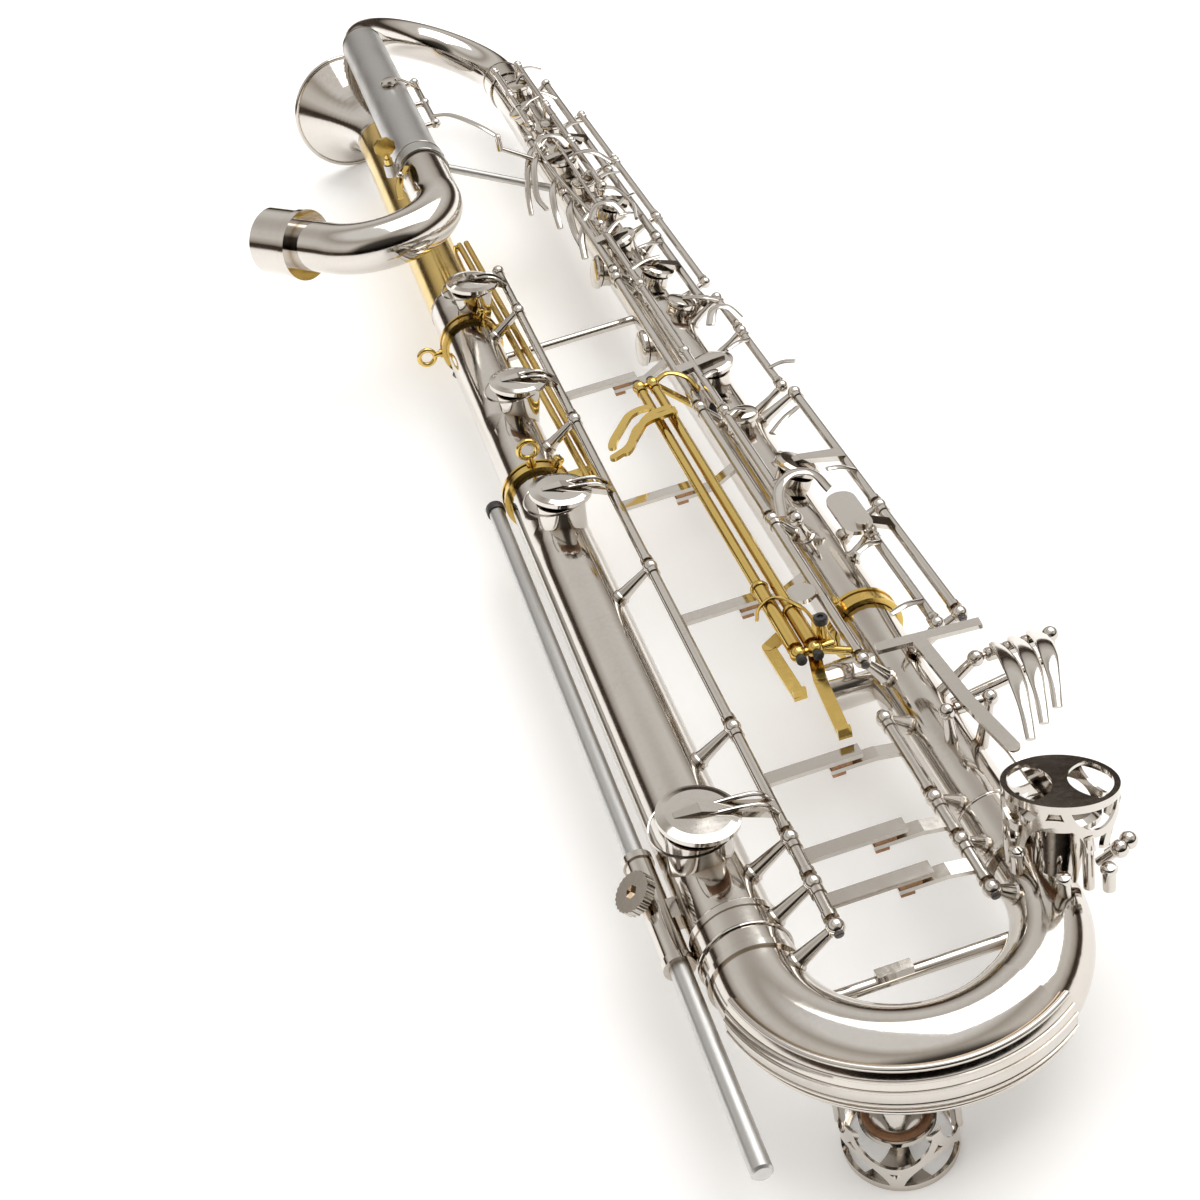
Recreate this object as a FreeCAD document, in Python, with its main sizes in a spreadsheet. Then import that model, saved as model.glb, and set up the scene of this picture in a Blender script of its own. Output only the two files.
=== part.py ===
import FreeCAD, Part
import math
import os
import Sketcher

# Folded metal contrabass clarinet lying with its keys up.
# X runs across the two long tubes, Y along them towards the bell, Z up.
# The origin is on the floor under the middle of the whole instrument.

Vector = FreeCAD.Vector

doc = FreeCAD.newDocument("ContrabassClarinet")
sheet = doc.addObject("Spreadsheet::Sheet", "Dimensions")

DIMENSIONS = {
    # Layout of the tubes
    "TubeSpacing": 126.8,
    "MidX": 29.15,
    "JointY": -544.55,
    "AxisZ": 51.8,
    "WallThickness": 1.0,
    # Bottom bow and its guard strip
    "BowRadius": 20.0,
    "BowEndRadius": 15.6,
    "BowLegLength": 12.0,
    "GuardThickness": 1.4,
    "GuardHalfAngle": 38.0,
    # Left tube, brass sleeve and bell
    "BellTubeRadius": 19.6,
    "BellTubeEndRadius": 18.9,
    "SleeveStart": 672.0,
    "SleeveEnd": 1035.0,
    "BellEnd": 1135.0,
    "BellRimRadius": 50.0,
    "BellLean": 9.5,
    "BellBendRadius": 60.0,
    # Right tube and top bow
    "LowerBodyRadius": 15.2,
    "BodyRadius": 17.2,
    "BodyTop": 1095.0,
    # Upper tube and neck
    "UpperX": -53.0,
    "UpperHeight": 66.0,
    "UpperRadius": 17.9,
    "UpperStart": 776.0,
    "NeckRadius": 17.9,
    "NeckDrop": 46.0,
    "NeckBendRadius": 47.0,
    "NeckTurn": 138.0,
    "NeckArm": 26.0,
    "SocketRadius": 24.0,
    "SocketLength": 34.0,
    "MouthpieceBore": 15.5,
    # Endpin and its receiver
    "EndpinRadius": 4.75,
    "EndpinX": -91.5,
    "EndpinTop": 402.0,
    "EndpinTip": -90.0,
    "ReceiverRadius": 6.6,
    "ReceiverStart": 19.0,
    "ReceiverEnd": 88.0,
    # Hinge rods and key hubs
    "RodRadius": 1.6,
    "HubRadius": 3.0,
    "RunningClearance": 0.05,
    "EndClearance": 0.35,
    "BallRadius": 4.2,
    # Key cups
    "CupHeight": 4.5,
    "PadThickness": 3.0,
    "PadGap": 0.3,
    "CupOpening": 6.0,
    "LeftCupRadius": 18.0,
    "LowCupRadius": 19.2,
    "LeftCupTilt": 5.0,
    # Braces and clamps
    "BraceRadius": 3.1,
    "ClampWidth": 10.0,
    "ClampThickness": 2.2,
    # Key guards
    "GuardRadius": 24.4,
    "GuardWall": 1.4,
    "GuardRim": 2.6,
    "GuardBand": 3.4,
    "GuardArcOverlap": 1.2,
}

for row, (alias, value) in enumerate(DIMENSIONS.items(), start=1):
    sheet.set("A%d" % row, alias)
    sheet.set("B%d" % row, str(value))
    sheet.setAlias("B%d" % row, alias)
doc.recompute()


def dim(alias):
    """Value of one named cell of the sheet."""
    return float(sheet.get(alias))


SPACING = dim("TubeSpacing")
WALL = dim("WallThickness")
LEFT = -SPACING / 2
RIGHT = SPACING / 2
ROD = dim("RodRadius")
HUB = dim("HubRadius")
HUB_BORE = ROD + dim("RunningClearance")
GAP = dim("EndClearance")
BALL = dim("BallRadius")

ALONG = Vector(0, 1, 0)
ACROSS = Vector(1, 0, 0)
UP = Vector(0, 0, 1)

NODES = []


def at(x, y, z):
    """Point given from the middle of the bow joint, on the plane of the tube axes."""
    return Vector(x + dim("MidX"), y + dim("JointY"), z + dim("AxisZ"))


def add_node(label, shape):
    """Keep a finished shape as a named object of the document."""
    node = doc.addObject("Part::Feature", label)
    if shape.ShapeType != "Compound":
        merged = shape.removeSplitter()
        shape = merged if merged.isValid() else shape
    node.Shape = shape
    node.Label = label
    NODES.append(node)
    return node


def add_bound(node, label, bindings):
    """Name an object made by FreeCAD and bind its sizes to cells of the sheet."""
    node.Label = label
    for prop, expression in bindings.items():
        node.setExpression(prop, expression)
    NODES.append(node)
    return node


def rod_between(start, end, radius, end_radius=None):
    """Round bar, or a tapered one, from one point to another."""
    axis = end.sub(start)
    if end_radius is None or abs(end_radius - radius) < 1e-6:
        return Part.makeCylinder(radius, axis.Length, start, axis)
    return Part.makeCone(radius, end_radius, axis.Length, start, axis)


def revolve_profile(points, origin, axis):
    """Turned solid: points are (distance along the axis, radius)."""
    side = axis.cross(UP) if abs(axis.dot(UP)) < 0.9 else axis.cross(ACROSS)
    side.normalize()
    corners = [origin + axis * along + side * radius for along, radius in points]
    wire = Part.makePolygon(corners + [corners[0]])
    return Part.Face(wire).revolve(origin, axis, 360)


def tube_profile(outer, wall):
    """Closed profile of a tube from its outer (along, radius) points and a wall."""
    inner = [(along, radius - wall) for along, radius in reversed(outer)]
    return outer + inner


def bar(start, end, width, thickness, end_width=None, end_thickness=None):
    """Flat lever from one point to another, its width level and its ends square."""
    axis = end.sub(start)
    side = UP.cross(axis)
    side.normalize()
    top = axis.cross(side)
    top.normalize()
    wires = []
    sizes = ((start, width, thickness), (end, end_width or width, end_thickness or thickness))
    for centre, wide, thick in sizes:
        corners = []
        for i, j in ((-1, -1), (1, -1), (1, 1), (-1, 1)):
            corners.append(centre + side * (i * wide / 2) + top * (j * thick / 2))
        wires.append(Part.makePolygon(corners + [corners[0]]))
    return Part.makeLoft(wires, True, True)


def ring(centre, axis, outer, inner, width):
    """Flat ring whose middle plane holds the centre."""
    start = centre - axis * (width / 2)
    disc = Part.makeCylinder(outer, width, start, axis)
    return disc.cut(Part.makeCylinder(inner, width, start, axis))


def tilted(shape, centre, degrees, axis=ALONG):
    """Copy of a shape turned about a point."""
    turned = shape.copy()
    turned.rotate(centre, axis, degrees)
    return turned


def outer_tube(x, radius, start, end):
    """Solid of a long tube's outside, for trimming what stands on it."""
    return Part.makeCylinder(radius, end - start, at(x, start, 0), ALONG)


COLLAR_END = 27.5


# Air tubes

BOW_BRACE_Y = -22.0


class Seat:
    """Place and directions of a big tone hole on the bow: up is away from the tube."""

    def __init__(self, base, up, forward, pad_height, foot, foot_radius, top_radius):
        self.base = base
        self.up = Vector(up)
        self.up.normalize()
        self.side = forward.cross(self.up)
        self.side.normalize()
        self.forward = self.up.cross(self.side)
        self.pad_height = pad_height
        self.foot = foot
        self.foot_radius = foot_radius
        self.top_radius = top_radius

    def point(self, side, forward, up):
        return self.base + self.side * side + self.forward * forward + self.up * up

    def chimney(self, shrink, extra):
        """Tapered tone hole wall from inside the bow to just under the pad."""
        height = self.pad_height - dim("PadGap") + extra
        sections = [
            circle_wire(self.point(*self.foot), self.up, self.foot_radius - shrink),
            circle_wire(self.point(0, 0, height), self.up, self.top_radius - shrink),
        ]
        return Part.makeLoft(sections, True, True)


GUARD_SEAT_1 = Seat(at(77.6, 5, 21), Vector(0.159, 0.254, 0.954), Vector(0, 1, 0), 8.0,
                    (-6.0, -8.0, -16.0), 9.0, 13.0)
GUARD_SEAT_2 = Seat(at(-28, -60, -22), Vector(0, 0, -1), Vector(0.423, 0.906, 0), 9.0,
                    (0.0, 2.0, -14.0), 11.5, 12.5)

def left_tube_radius(y):
    """Outer radius of the left tube at a distance from the bow joint."""
    share = max(0.0, (y - COLLAR_END) / (dim("SleeveStart") - COLLAR_END))
    return dim("BellTubeRadius") + share * (dim("BellTubeEndRadius") - dim("BellTubeRadius"))


def chimney(tube_x, y, offset, tilt, radius, height):
    """Tone hole chimney on a tube, and the hole through it and the wall below."""
    foot = at(tube_x, y, 0)
    start = at(tube_x + offset, y, 0)
    foot_radius = min(radius, abs(dim("BellTubeEndRadius") - abs(offset)) - 0.6)
    outer = rod_between(start, start + UP * height, foot_radius, radius)
    hole = rod_between(start, start + UP * (height + 0.5), foot_radius - WALL, radius - WALL)
    return tilted(outer, foot, tilt), tilted(hole, foot, tilt)


def tube_with_chimneys(label, x, profile, bore, chimneys, extra=None):
    """Straight tube along Y with its tone hole chimneys and other fittings fused on."""
    origin = at(x, 0, 0)
    outside = revolve_profile([(profile[0][0], 0)] + profile + [(profile[-1][0], 0)], origin, ALONG)
    shape = revolve_profile(profile + bore[::-1], origin, ALONG)
    for spec in chimneys:
        outer, hole = chimney(x, *spec)
        shape = shape.fuse(outer.cut(outside))
        shape = shape.cut(hole)
    if extra is not None:
        shape = shape.fuse(extra.cut(outside))
    return add_node(label, shape)


def circle_wire(centre, normal, radius):
    return Part.Wire(Part.makeCircle(radius, centre, normal))


def bow_section(degrees, radius):
    """Round section of the bottom bow, square to the bow's centre line."""
    angle = math.radians(degrees)
    centre = at(SPACING / 2 * math.cos(angle), SPACING / 2 * math.sin(angle), 0)
    normal = Vector(-math.sin(angle), math.cos(angle), 0)
    return circle_wire(centre, normal, radius)


def bow_radius(degrees):
    """The bow keeps its full size for most of the bend, then narrows to the right leg."""
    narrowing = 300.0
    if degrees <= narrowing:
        return dim("BowRadius")
    share = (degrees - narrowing) / (360.0 - narrowing)
    return dim("BowRadius") + share * (dim("BowEndRadius") - dim("BowRadius"))


def bow_solid(shrink):
    """Solid of the bottom bow with every radius smaller by the given amount."""
    radius = dim("BowRadius") - shrink
    start = Part.Face(bow_section(180, radius))
    bend = start.revolve(at(0, 0, 0), UP, 120)
    sections = [bow_section(d, bow_radius(d) - shrink) for d in (300, 315, 330, 345, 360)]
    narrowing = Part.makeLoft(sections, True, False)
    leg = Part.makeCylinder(dim("BowEndRadius") - shrink, dim("BowLegLength"), at(RIGHT, 0, 0), ALONG)
    return bend.fuse(narrowing).fuse(leg)


def make_bottom_bow():
    """Bottom bow with its cross brace and the chimneys of the two lowest tone holes."""
    brace = Part.makeCylinder(dim("BraceRadius"), 100, at(-50, BOW_BRACE_Y, 0), ACROSS)
    rest = Part.makeBox(16, 5, 4, at(-18, BOW_BRACE_Y - 2.5, 2.0))
    shape = bow_solid(0).fuse(brace).fuse(rest)
    holes = None
    for seat in (GUARD_SEAT_1, GUARD_SEAT_2):
        shape = shape.fuse(seat.chimney(0, 0))
        hole = seat.chimney(WALL, 0.5)
        holes = hole if holes is None else holes.fuse(hole)
    for radius, end in ((dim("LowerBodyRadius") + 3.2, 16), (dim("LowerBodyRadius") + 1.6, 44)):
        shape = shape.cut(outer_tube(RIGHT, radius, dim("BowLegLength"), end))
    return add_node("bottom_bow", shape.cut(bow_solid(WALL)).cut(holes))


def make_bow_guard():
    """Protecting strip round the outside of the bend, with a bead along each edge."""
    inner = dim("BowRadius")
    outer = inner + dim("GuardThickness")
    half = math.radians(dim("GuardHalfAngle"))
    centre = at(LEFT, 0, 0)

    def rim(radius, angle):
        return centre + Vector(-radius * math.cos(angle), 0, radius * math.sin(angle))

    edges = [
        Part.Arc(rim(outer, -half), rim(outer, 0), rim(outer, half)).toShape(),
        Part.makeLine(rim(outer, half), rim(inner, half)),
        Part.Arc(rim(inner, half), rim(inner, 0), rim(inner, -half)).toShape(),
        Part.makeLine(rim(inner, -half), rim(outer, -half)),
    ]
    strip = Part.Face(Part.Wire(edges)).revolve(at(0, 0, 0), UP, 112)
    for angle in (-half, half):
        bead = Part.Face(circle_wire(rim(outer, angle), ALONG, dim("GuardThickness")))
        strip = strip.fuse(bead.revolve(at(0, 0, 0), UP, 112))
    strip.rotate(at(0, 0, 0), UP, 12)
    return add_node("bow_guard", strip.cut(bow_solid(0)))


def make_bell_tube():
    radius = dim("BellTubeRadius")
    end = dim("SleeveStart")
    profile = [
        (0, radius + 1.8), (3.5, radius + 1.8), (3.5, radius + 1.0), (24, radius + 1.0),
        (24, radius + 1.6), (COLLAR_END, radius + 1.6), (COLLAR_END, radius),
        (end, dim("BellTubeEndRadius")),
    ]
    bore = [(0, radius - WALL), (COLLAR_END, radius - WALL), (end, dim("BellTubeEndRadius") - WALL)]
    tilt = dim("LeftCupTilt")
    holes = [(spec["y"], spec["offset"], tilt, spec["radius"] - 4, LEFT_SEAT) for spec in LEFT_KEYS]
    return tube_with_chimneys("bell_tube", LEFT, profile, bore, holes)


def make_bell_sleeve():
    node = doc.addObject("Part::Cut", "BellSleeve")
    outer = doc.addObject("Part::Cylinder", "SleeveOuter")
    bore = doc.addObject("Part::Cylinder", "SleeveBore")
    outer.setExpression("Radius", "Dimensions.BellTubeEndRadius + 0.3")
    bore.setExpression("Radius", "Dimensions.BellTubeEndRadius - Dimensions.WallThickness")
    for cylinder in (outer, bore):
        cylinder.setExpression("Height", "Dimensions.SleeveEnd - Dimensions.SleeveStart")
        cylinder.Placement = FreeCAD.Placement(
            at(LEFT, dim("SleeveStart"), 0), FreeCAD.Rotation(UP, ALONG))
    node.Base = outer
    node.Tool = bore
    return add_bound(node, "bell_sleeve", {})


def make_bell():
    """Short bend and flared bell with a rolled rim, leaning away from the top bow."""
    throat = dim("BellTubeEndRadius")
    rim = dim("BellRimRadius")
    lean = dim("BellLean")
    bend_centre = at(LEFT - dim("BellBendRadius"), dim("SleeveEnd"), 0)
    throat_centre = at(LEFT, dim("SleeveEnd"), 0)
    section = Part.Face(circle_wire(throat_centre, ALONG, throat)).cut(
        Part.Face(circle_wire(throat_centre, ALONG, throat - WALL)))
    bend = section.revolve(bend_centre, UP, lean)
    length = dim("BellEnd") - dim("SleeveEnd") - dim("BellBendRadius") * math.radians(lean)
    steps = 14
    outer = [(0, throat)]
    for i in range(1, steps + 1):
        share = i / steps
        outer.append((share * length, throat + (rim - throat) * share ** 2.6))
    flare = revolve_profile(tube_profile(outer, WALL), throat_centre, ALONG)
    bead = Part.makeTorus(rim - 0.4, 2.2, throat_centre + ALONG * length, ALONG)
    flare = tilted(flare.fuse(bead), bend_centre, lean, UP)
    return add_node("bell", bend.fuse(flare))


def side_drum():
    """Short closed drum that stands out of the main tube's left side."""
    start = at(RIGHT, 160, 0)
    drum = Part.makeCylinder(12.6, 35, start, -ACROSS)
    drum = drum.fuse(Part.makeCylinder(13.0, 1.6, start - ACROSS * 33.4, -ACROSS))
    return drum.cut(Part.makeCylinder(11.4, 32.6, start, -ACROSS))


def make_main_tube():
    lower = dim("LowerBodyRadius")
    upper = dim("BodyRadius")
    leg = dim("BowLegLength")
    top = dim("BodyTop")
    profile = [
        (leg, lower + 3.2), (leg + 4, lower + 3.2), (leg + 4, lower + 1.6), (leg + 32, lower + 1.6),
        (leg + 32, lower), (165, lower), (200, upper), (top - 30, upper),
        (top - 30, upper + 1.0), (top, upper + 1.0),
    ]
    bore = [(leg, lower - WALL), (165, lower - WALL), (200, upper - WALL), (top, upper - WALL)]
    holes = []
    for spec in RIGHT_KEYS:
        holes.append((spec["y"], 0, spec["tilt"], spec["radius"] - 3, spec["seat"]))
    return tube_with_chimneys("main_tube", RIGHT, profile, bore, holes, side_drum())


def make_top_bow():
    """Half turn that joins the main tube to the raised upper tube."""
    right_end = at(RIGHT, dim("BodyTop"), 0)
    left_end = at(dim("UpperX"), dim("BodyTop"), dim("UpperHeight"))
    middle = (right_end + left_end) * 0.5
    axis = left_end.sub(right_end).cross(ALONG)
    axis.normalize()

    def half_turn(radius):
        face = Part.Face(circle_wire(right_end, ALONG, radius))
        return face.revolve(middle, axis, -180)

    shape = half_turn(dim("BodyRadius")).cut(half_turn(dim("BodyRadius") - WALL))
    return add_node("top_bow", shape)


def make_upper_tube():
    """Upper tube with the split receiver and the lug that the neck screw clamps."""
    radius = dim("UpperRadius")
    start = dim("UpperStart")
    end = dim("BodyTop")
    origin = at(dim("UpperX"), 0, dim("UpperHeight"))
    outer = [(start, radius + 1.2), (start + 18, radius + 1.2), (start + 18, radius), (end, radius)]
    shape = revolve_profile(tube_profile(outer, WALL), origin, ALONG)
    inside = Part.makeCylinder(radius - WALL + 0.1, end - start, origin + ALONG * start, ALONG)
    shape = shape.cut(inside)
    lug_base = at(dim("UpperX") - radius - 5, start + 9, dim("UpperHeight") + 2)
    lug = Part.makeCylinder(4.5, 9, lug_base, UP)
    web = Part.makeBox(9, 7, 6, lug_base + Vector(0, -3.5, 1))
    body = lug.fuse(web).cut(Part.makeCylinder(radius, 40, origin + ALONG * (start - 5), ALONG))
    bore = Part.makeCylinder(SCREW_RADIUS + dim("RunningClearance"), 9, lug_base, UP)
    brace = rod_between(at(dim("UpperX"), start + 24, dim("UpperHeight")), at(RIGHT, 812, 0), dim("BraceRadius"))
    brace = brace.cut(Part.makeCylinder(radius - WALL, 60, origin + ALONG * (start - 10), ALONG))
    brace = brace.cut(outer_tube(RIGHT, dim("BodyRadius"), 780, 840))
    return add_node("upper_tube", shape.fuse(body).fuse(brace).cut(bore))


# Neck with its mouthpiece socket

NECK_COLLAR = 8.0
NECK_TENON = 20.0
NECK_LIP = 5.0


def neck_places():
    """Where the crook starts to bend, where it stops and the way it then points."""
    start = at(dim("UpperX"), dim("UpperStart") - NECK_COLLAR - dim("NeckDrop"), dim("UpperHeight"))
    bend = dim("NeckBendRadius")
    turn = math.radians(dim("NeckTurn"))
    stop = start + Vector(bend * (math.cos(turn) - 1), -bend * math.sin(turn), 0)
    return start, stop, Vector(-math.sin(turn), -math.cos(turn), 0)


def crook(radius):
    """Solid of the crook: a straight drop, the bend and the arm to the socket."""
    start, stop, way = neck_places()
    corner = start + ALONG * dim("NeckDrop")
    drop = Part.makeCylinder(radius, dim("NeckDrop"), corner, -ALONG)
    face = Part.Face(circle_wire(start, ALONG, radius))
    bend = face.revolve(start - ACROSS * dim("NeckBendRadius"), UP, -dim("NeckTurn"))
    arm = Part.makeCylinder(radius, dim("NeckArm"), stop, way)
    return drop.fuse(bend).fuse(arm)


def make_neck():
    """Crook that leaves the upper tube, curls left and ends in the mouthpiece socket."""
    start, stop, way = neck_places()
    corner = start + ALONG * dim("NeckDrop")
    radius = dim("NeckRadius")
    socket = dim("SocketLength")
    socket_start = stop + way * dim("NeckArm")
    collar = Part.makeCylinder(radius, NECK_COLLAR - GAP, corner, ALONG)
    tenon_radius = dim("UpperRadius") - WALL
    tenon = Part.makeCylinder(tenon_radius, NECK_TENON, corner + ALONG * (NECK_COLLAR - GAP), ALONG)
    lip = Part.makeCylinder(dim("SocketRadius") + 1.2, NECK_LIP, socket_start, way)
    sleeve = Part.makeCylinder(dim("SocketRadius"), socket, socket_start, way)
    solid = crook(radius).fuse(collar).fuse(tenon).fuse(lip).fuse(sleeve)
    through = NECK_COLLAR + NECK_TENON + 2
    inside = crook(radius - WALL).fuse(Part.makeCylinder(tenon_radius - WALL, through, corner, ALONG))
    bore = Part.makeCylinder(dim("MouthpieceBore"), socket + 2, socket_start - way, way)
    return add_node("neck", solid.cut(inside).cut(bore))


SCREW_RADIUS = 1.9


def make_neck_screw():
    """Brass thumbscrew with a flat eight sided head, standing in the receiver's lug."""
    start = at(dim("UpperX") - dim("UpperRadius") - 5, dim("UpperStart") + 9, dim("UpperHeight") + 2)
    shank = Part.makeCylinder(SCREW_RADIUS, 17, start, UP)
    collar = Part.makeCylinder(3.2, 4, start + UP * (9 + GAP), UP)
    centre = start + UP * 23
    corners = []
    for i in range(8):
        angle = math.radians(22.5 + 45 * i)
        corners.append(centre + Vector(8.4 * math.cos(angle), -1.5, 7.2 * math.sin(angle)))
    head = Part.Face(Part.makePolygon(corners + [corners[0]])).extrude(ALONG * 3)
    return add_node("neck_screw", shank.fuse(collar).fuse(head))


# Endpin, its receiver and screw

def make_endpin():
    """Plain rod with chamfered ends, turned in a body and bound to the sheet."""
    body = doc.addObject("PartDesign::Body", "EndpinBody")
    sketch = body.newObject("Sketcher::SketchObject", "EndpinProfile")
    sketch.AttachmentSupport = [(plane_of(body, "XY_Plane"), "")]
    sketch.MapMode = "FlatFace"
    length = dim("EndpinTop") - dim("EndpinTip")
    radius = dim("EndpinRadius")
    chamfer = 1.0
    corners = [(0, 0), (radius - chamfer, 0), (radius, chamfer), (radius, length - chamfer),
               (radius - chamfer, length), (0, length)]
    count = len(corners)
    for i in range(count):
        x0, y0 = corners[i]
        x1, y1 = corners[(i + 1) % count]
        sketch.addGeometry(Part.LineSegment(Vector(x0, y0, 0), Vector(x1, y1, 0)), False)
    for i in range(count):
        sketch.addConstraint(Sketcher.Constraint("Coincident", i, 2, (i + 1) % count, 1))
    sketch.addConstraint(Sketcher.Constraint("Coincident", 0, 1, -1, 1))
    sketch.addConstraint(Sketcher.Constraint("Horizontal", 0))
    sketch.addConstraint(Sketcher.Constraint("Horizontal", 4))
    sketch.addConstraint(Sketcher.Constraint("Vertical", 2))
    sketch.addConstraint(Sketcher.Constraint("Vertical", 5))
    sizes = (
        (("DistanceY", 5, length), "Dimensions.EndpinTop - Dimensions.EndpinTip"),
        (("DistanceX", -1, 1, 1, 2, radius), "Dimensions.EndpinRadius"),
        (("DistanceX", -1, 1, 0, 2, radius - chamfer), "Dimensions.EndpinRadius - 1"),
        (("DistanceX", -1, 1, 4, 1, radius - chamfer), "Dimensions.EndpinRadius - 1"),
    )
    for arguments, expression in sizes:
        kind, *rest = arguments
        if kind == "DistanceY":
            rest = [-1, 1, 4, 2, rest[-1]]
        index = sketch.addConstraint(Sketcher.Constraint(kind, *rest))
        sketch.setExpression("Constraints[%d]" % index, expression)
    sketch.addConstraint(Sketcher.Constraint("DistanceY", -1, 1, 1, 2, chamfer))
    sketch.addConstraint(Sketcher.Constraint("DistanceY", 2, 2, 4, 1, chamfer))
    turn = body.newObject("PartDesign::Revolution", "EndpinTurn")
    turn.Profile = sketch
    turn.ReferenceAxis = (sketch, ["V_Axis"])
    turn.Angle = 360
    body.Placement = FreeCAD.Placement(
        at(dim("EndpinX"), dim("EndpinTip"), 0), FreeCAD.Rotation())
    return add_bound(body, "endpin", {})


def plane_of(body, role):
    for feature in body.Origin.OriginFeatures:
        if feature.Role == role:
            return feature
    raise ValueError(role)


SCREW_AXIS = Vector(-0.6, 0, 0.8)
RECEIVER_SCREW_Y = 60.0


def make_endpin_receiver():
    """Sleeve beside the left tube, with a foot on the tube and a boss for the screw."""
    start = dim("ReceiverStart")
    end = dim("ReceiverEnd")
    radius = dim("ReceiverRadius")
    origin = at(dim("EndpinX"), start, 0)
    tube_origin = at(LEFT, start - 5, 0)
    sleeve = Part.makeCylinder(radius, end - start, origin, ALONG)
    for y in (start, end - 4):
        sleeve = sleeve.fuse(Part.makeCylinder(radius + 0.9, 4, at(dim("EndpinX"), y, 0), ALONG))
    foot = Part.makeBox(16, 12, 9, at(dim("EndpinX"), 44, -4.5))
    foot = foot.cut(Part.makeCylinder(left_tube_radius(44), 100, tube_origin, ALONG))
    screw_origin = at(dim("EndpinX"), RECEIVER_SCREW_Y, 0)
    boss = Part.makeCylinder(4.6, radius + 2.2, screw_origin, SCREW_AXIS)
    shape = sleeve.fuse(foot).fuse(boss)
    shape = shape.cut(Part.makeCylinder(
        dim("EndpinRadius") + dim("RunningClearance"), end - start, origin, ALONG))
    tapped = Part.makeCylinder(SCREW_RADIUS + dim("RunningClearance"), 20, screw_origin, SCREW_AXIS)
    return add_node("endpin_receiver", shape.cut(tapped))


def make_endpin_screw():
    """Knurled disc screw with a six sided socket, which clamps the endpin."""
    origin = at(dim("EndpinX"), RECEIVER_SCREW_Y, 0)
    first = dim("EndpinRadius") + 0.4
    boss_top = dim("ReceiverRadius") + 2.2
    shank = Part.makeCylinder(SCREW_RADIUS, boss_top + 2 - first, origin + SCREW_AXIS * first, SCREW_AXIS)
    disc_start = origin + SCREW_AXIS * (boss_top + GAP)
    disc = Part.makeCylinder(10.2, 5, disc_start, SCREW_AXIS)
    side = Vector(0.8, 0, 0.6)
    flutes = 24
    for i in range(flutes):
        angle = 2 * math.pi * i / flutes
        spot = side * (10.8 * math.cos(angle)) + ALONG * (10.8 * math.sin(angle))
        disc = disc.cut(Part.makeCylinder(1.1, 6, disc_start + spot - SCREW_AXIS * 0.5, SCREW_AXIS))
    corners = []
    for i in range(7):
        angle = math.pi * i / 3
        corners.append(disc_start + SCREW_AXIS * 2.5
                       + side * (3.4 * math.cos(angle)) + ALONG * (3.4 * math.sin(angle)))
    socket = Part.Face(Part.makePolygon(corners)).extrude(SCREW_AXIS * 3)
    return add_node("endpin_screw", shank.fuse(disc).cut(socket))


# Hinge lines: a straight rod held by ball posts, and the hubs that turn on it

LINES = {
    "left": {"x": -28.0, "z": 25.0, "tube": LEFT, "posts": (666, 598.5, 438.5, 269, 127, 47.5, 18.5, -8)},
    "inner": {"x": 43.0, "z": 28.0, "tube": RIGHT, "posts": (598, 404, 273, 141)},
    "low": {"x": 40.0, "z": 18.0, "tube": RIGHT, "posts": (108, 50, 21.5, -9)},
    "side": {"x": 88.0, "z": 20.0, "tube": RIGHT, "posts": (1006, 790, 655, 545)},
    "outer": {"x": 101.0, "z": 21.0, "tube": RIGHT, "posts": (400, 265, 160)},
    "upper": {"x": 45.0, "z": 26.0, "tube": RIGHT, "posts": (880, 760, 612)},
    "brass_a": {"x": 14.0, "z": 38.0, "posts": (430, 148)},
    "brass_b": {"x": 22.5, "z": 38.0, "posts": (430, 148)},
}


def line_point(line, y):
    return at(LINES[line]["x"], y, LINES[line]["z"])


def tube_radius_at(tube, y):
    """Outer radius of the long tube that a post stands on."""
    if tube == LEFT:
        if y < 0:
            return dim("BowRadius")
        if y < COLLAR_END:
            return dim("BellTubeRadius") + 1.0
        return left_tube_radius(y)
    if y < dim("BowLegLength"):
        return dim("BowEndRadius")
    if y < dim("BowLegLength") + 32:
        return dim("LowerBodyRadius") + 1.6
    share = min(max((y - 165) / 35.0, 0), 1)
    return dim("LowerBodyRadius") + share * (dim("BodyRadius") - dim("LowerBodyRadius"))


def ball_post(line, y):
    """Tapered stem from the tube's side to a ball round the hinge rod."""
    info = LINES[line]
    centre = line_point(line, y)
    root = at(info["tube"], y, 0)
    direction = centre.sub(root)
    reach = direction.Length
    direction.normalize()
    surface = tube_radius_at(info["tube"], y)
    stem = rod_between(root + direction * (surface - 1.5), centre, 3.2, 2.2)
    foot = Part.makeCylinder(4.6, 3.0, root + direction * (surface - 1.5), direction)
    stem = stem.fuse(foot)
    widest = max(surface, tube_radius_at(info["tube"], y - 4.8), tube_radius_at(info["tube"], y + 4.8))
    stem = stem.cut(Part.makeCylinder(widest, 12, root - ALONG * 6, ALONG))
    return stem.fuse(Part.makeSphere(BALL, centre))


def make_line(label, line):
    """The fixed rod of a hinge line with all its posts."""
    posts = LINES[line]["posts"]
    top = max(posts)
    bottom = min(posts)
    shape = Part.makeCylinder(ROD, top - bottom, line_point(line, bottom), ALONG)
    for y in posts:
        shape = shape.fuse(ball_post(line, y))
    if bottom < 0:
        shape = shape.cut(bow_solid(0))
    return add_node(label, above(shape))


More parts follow.
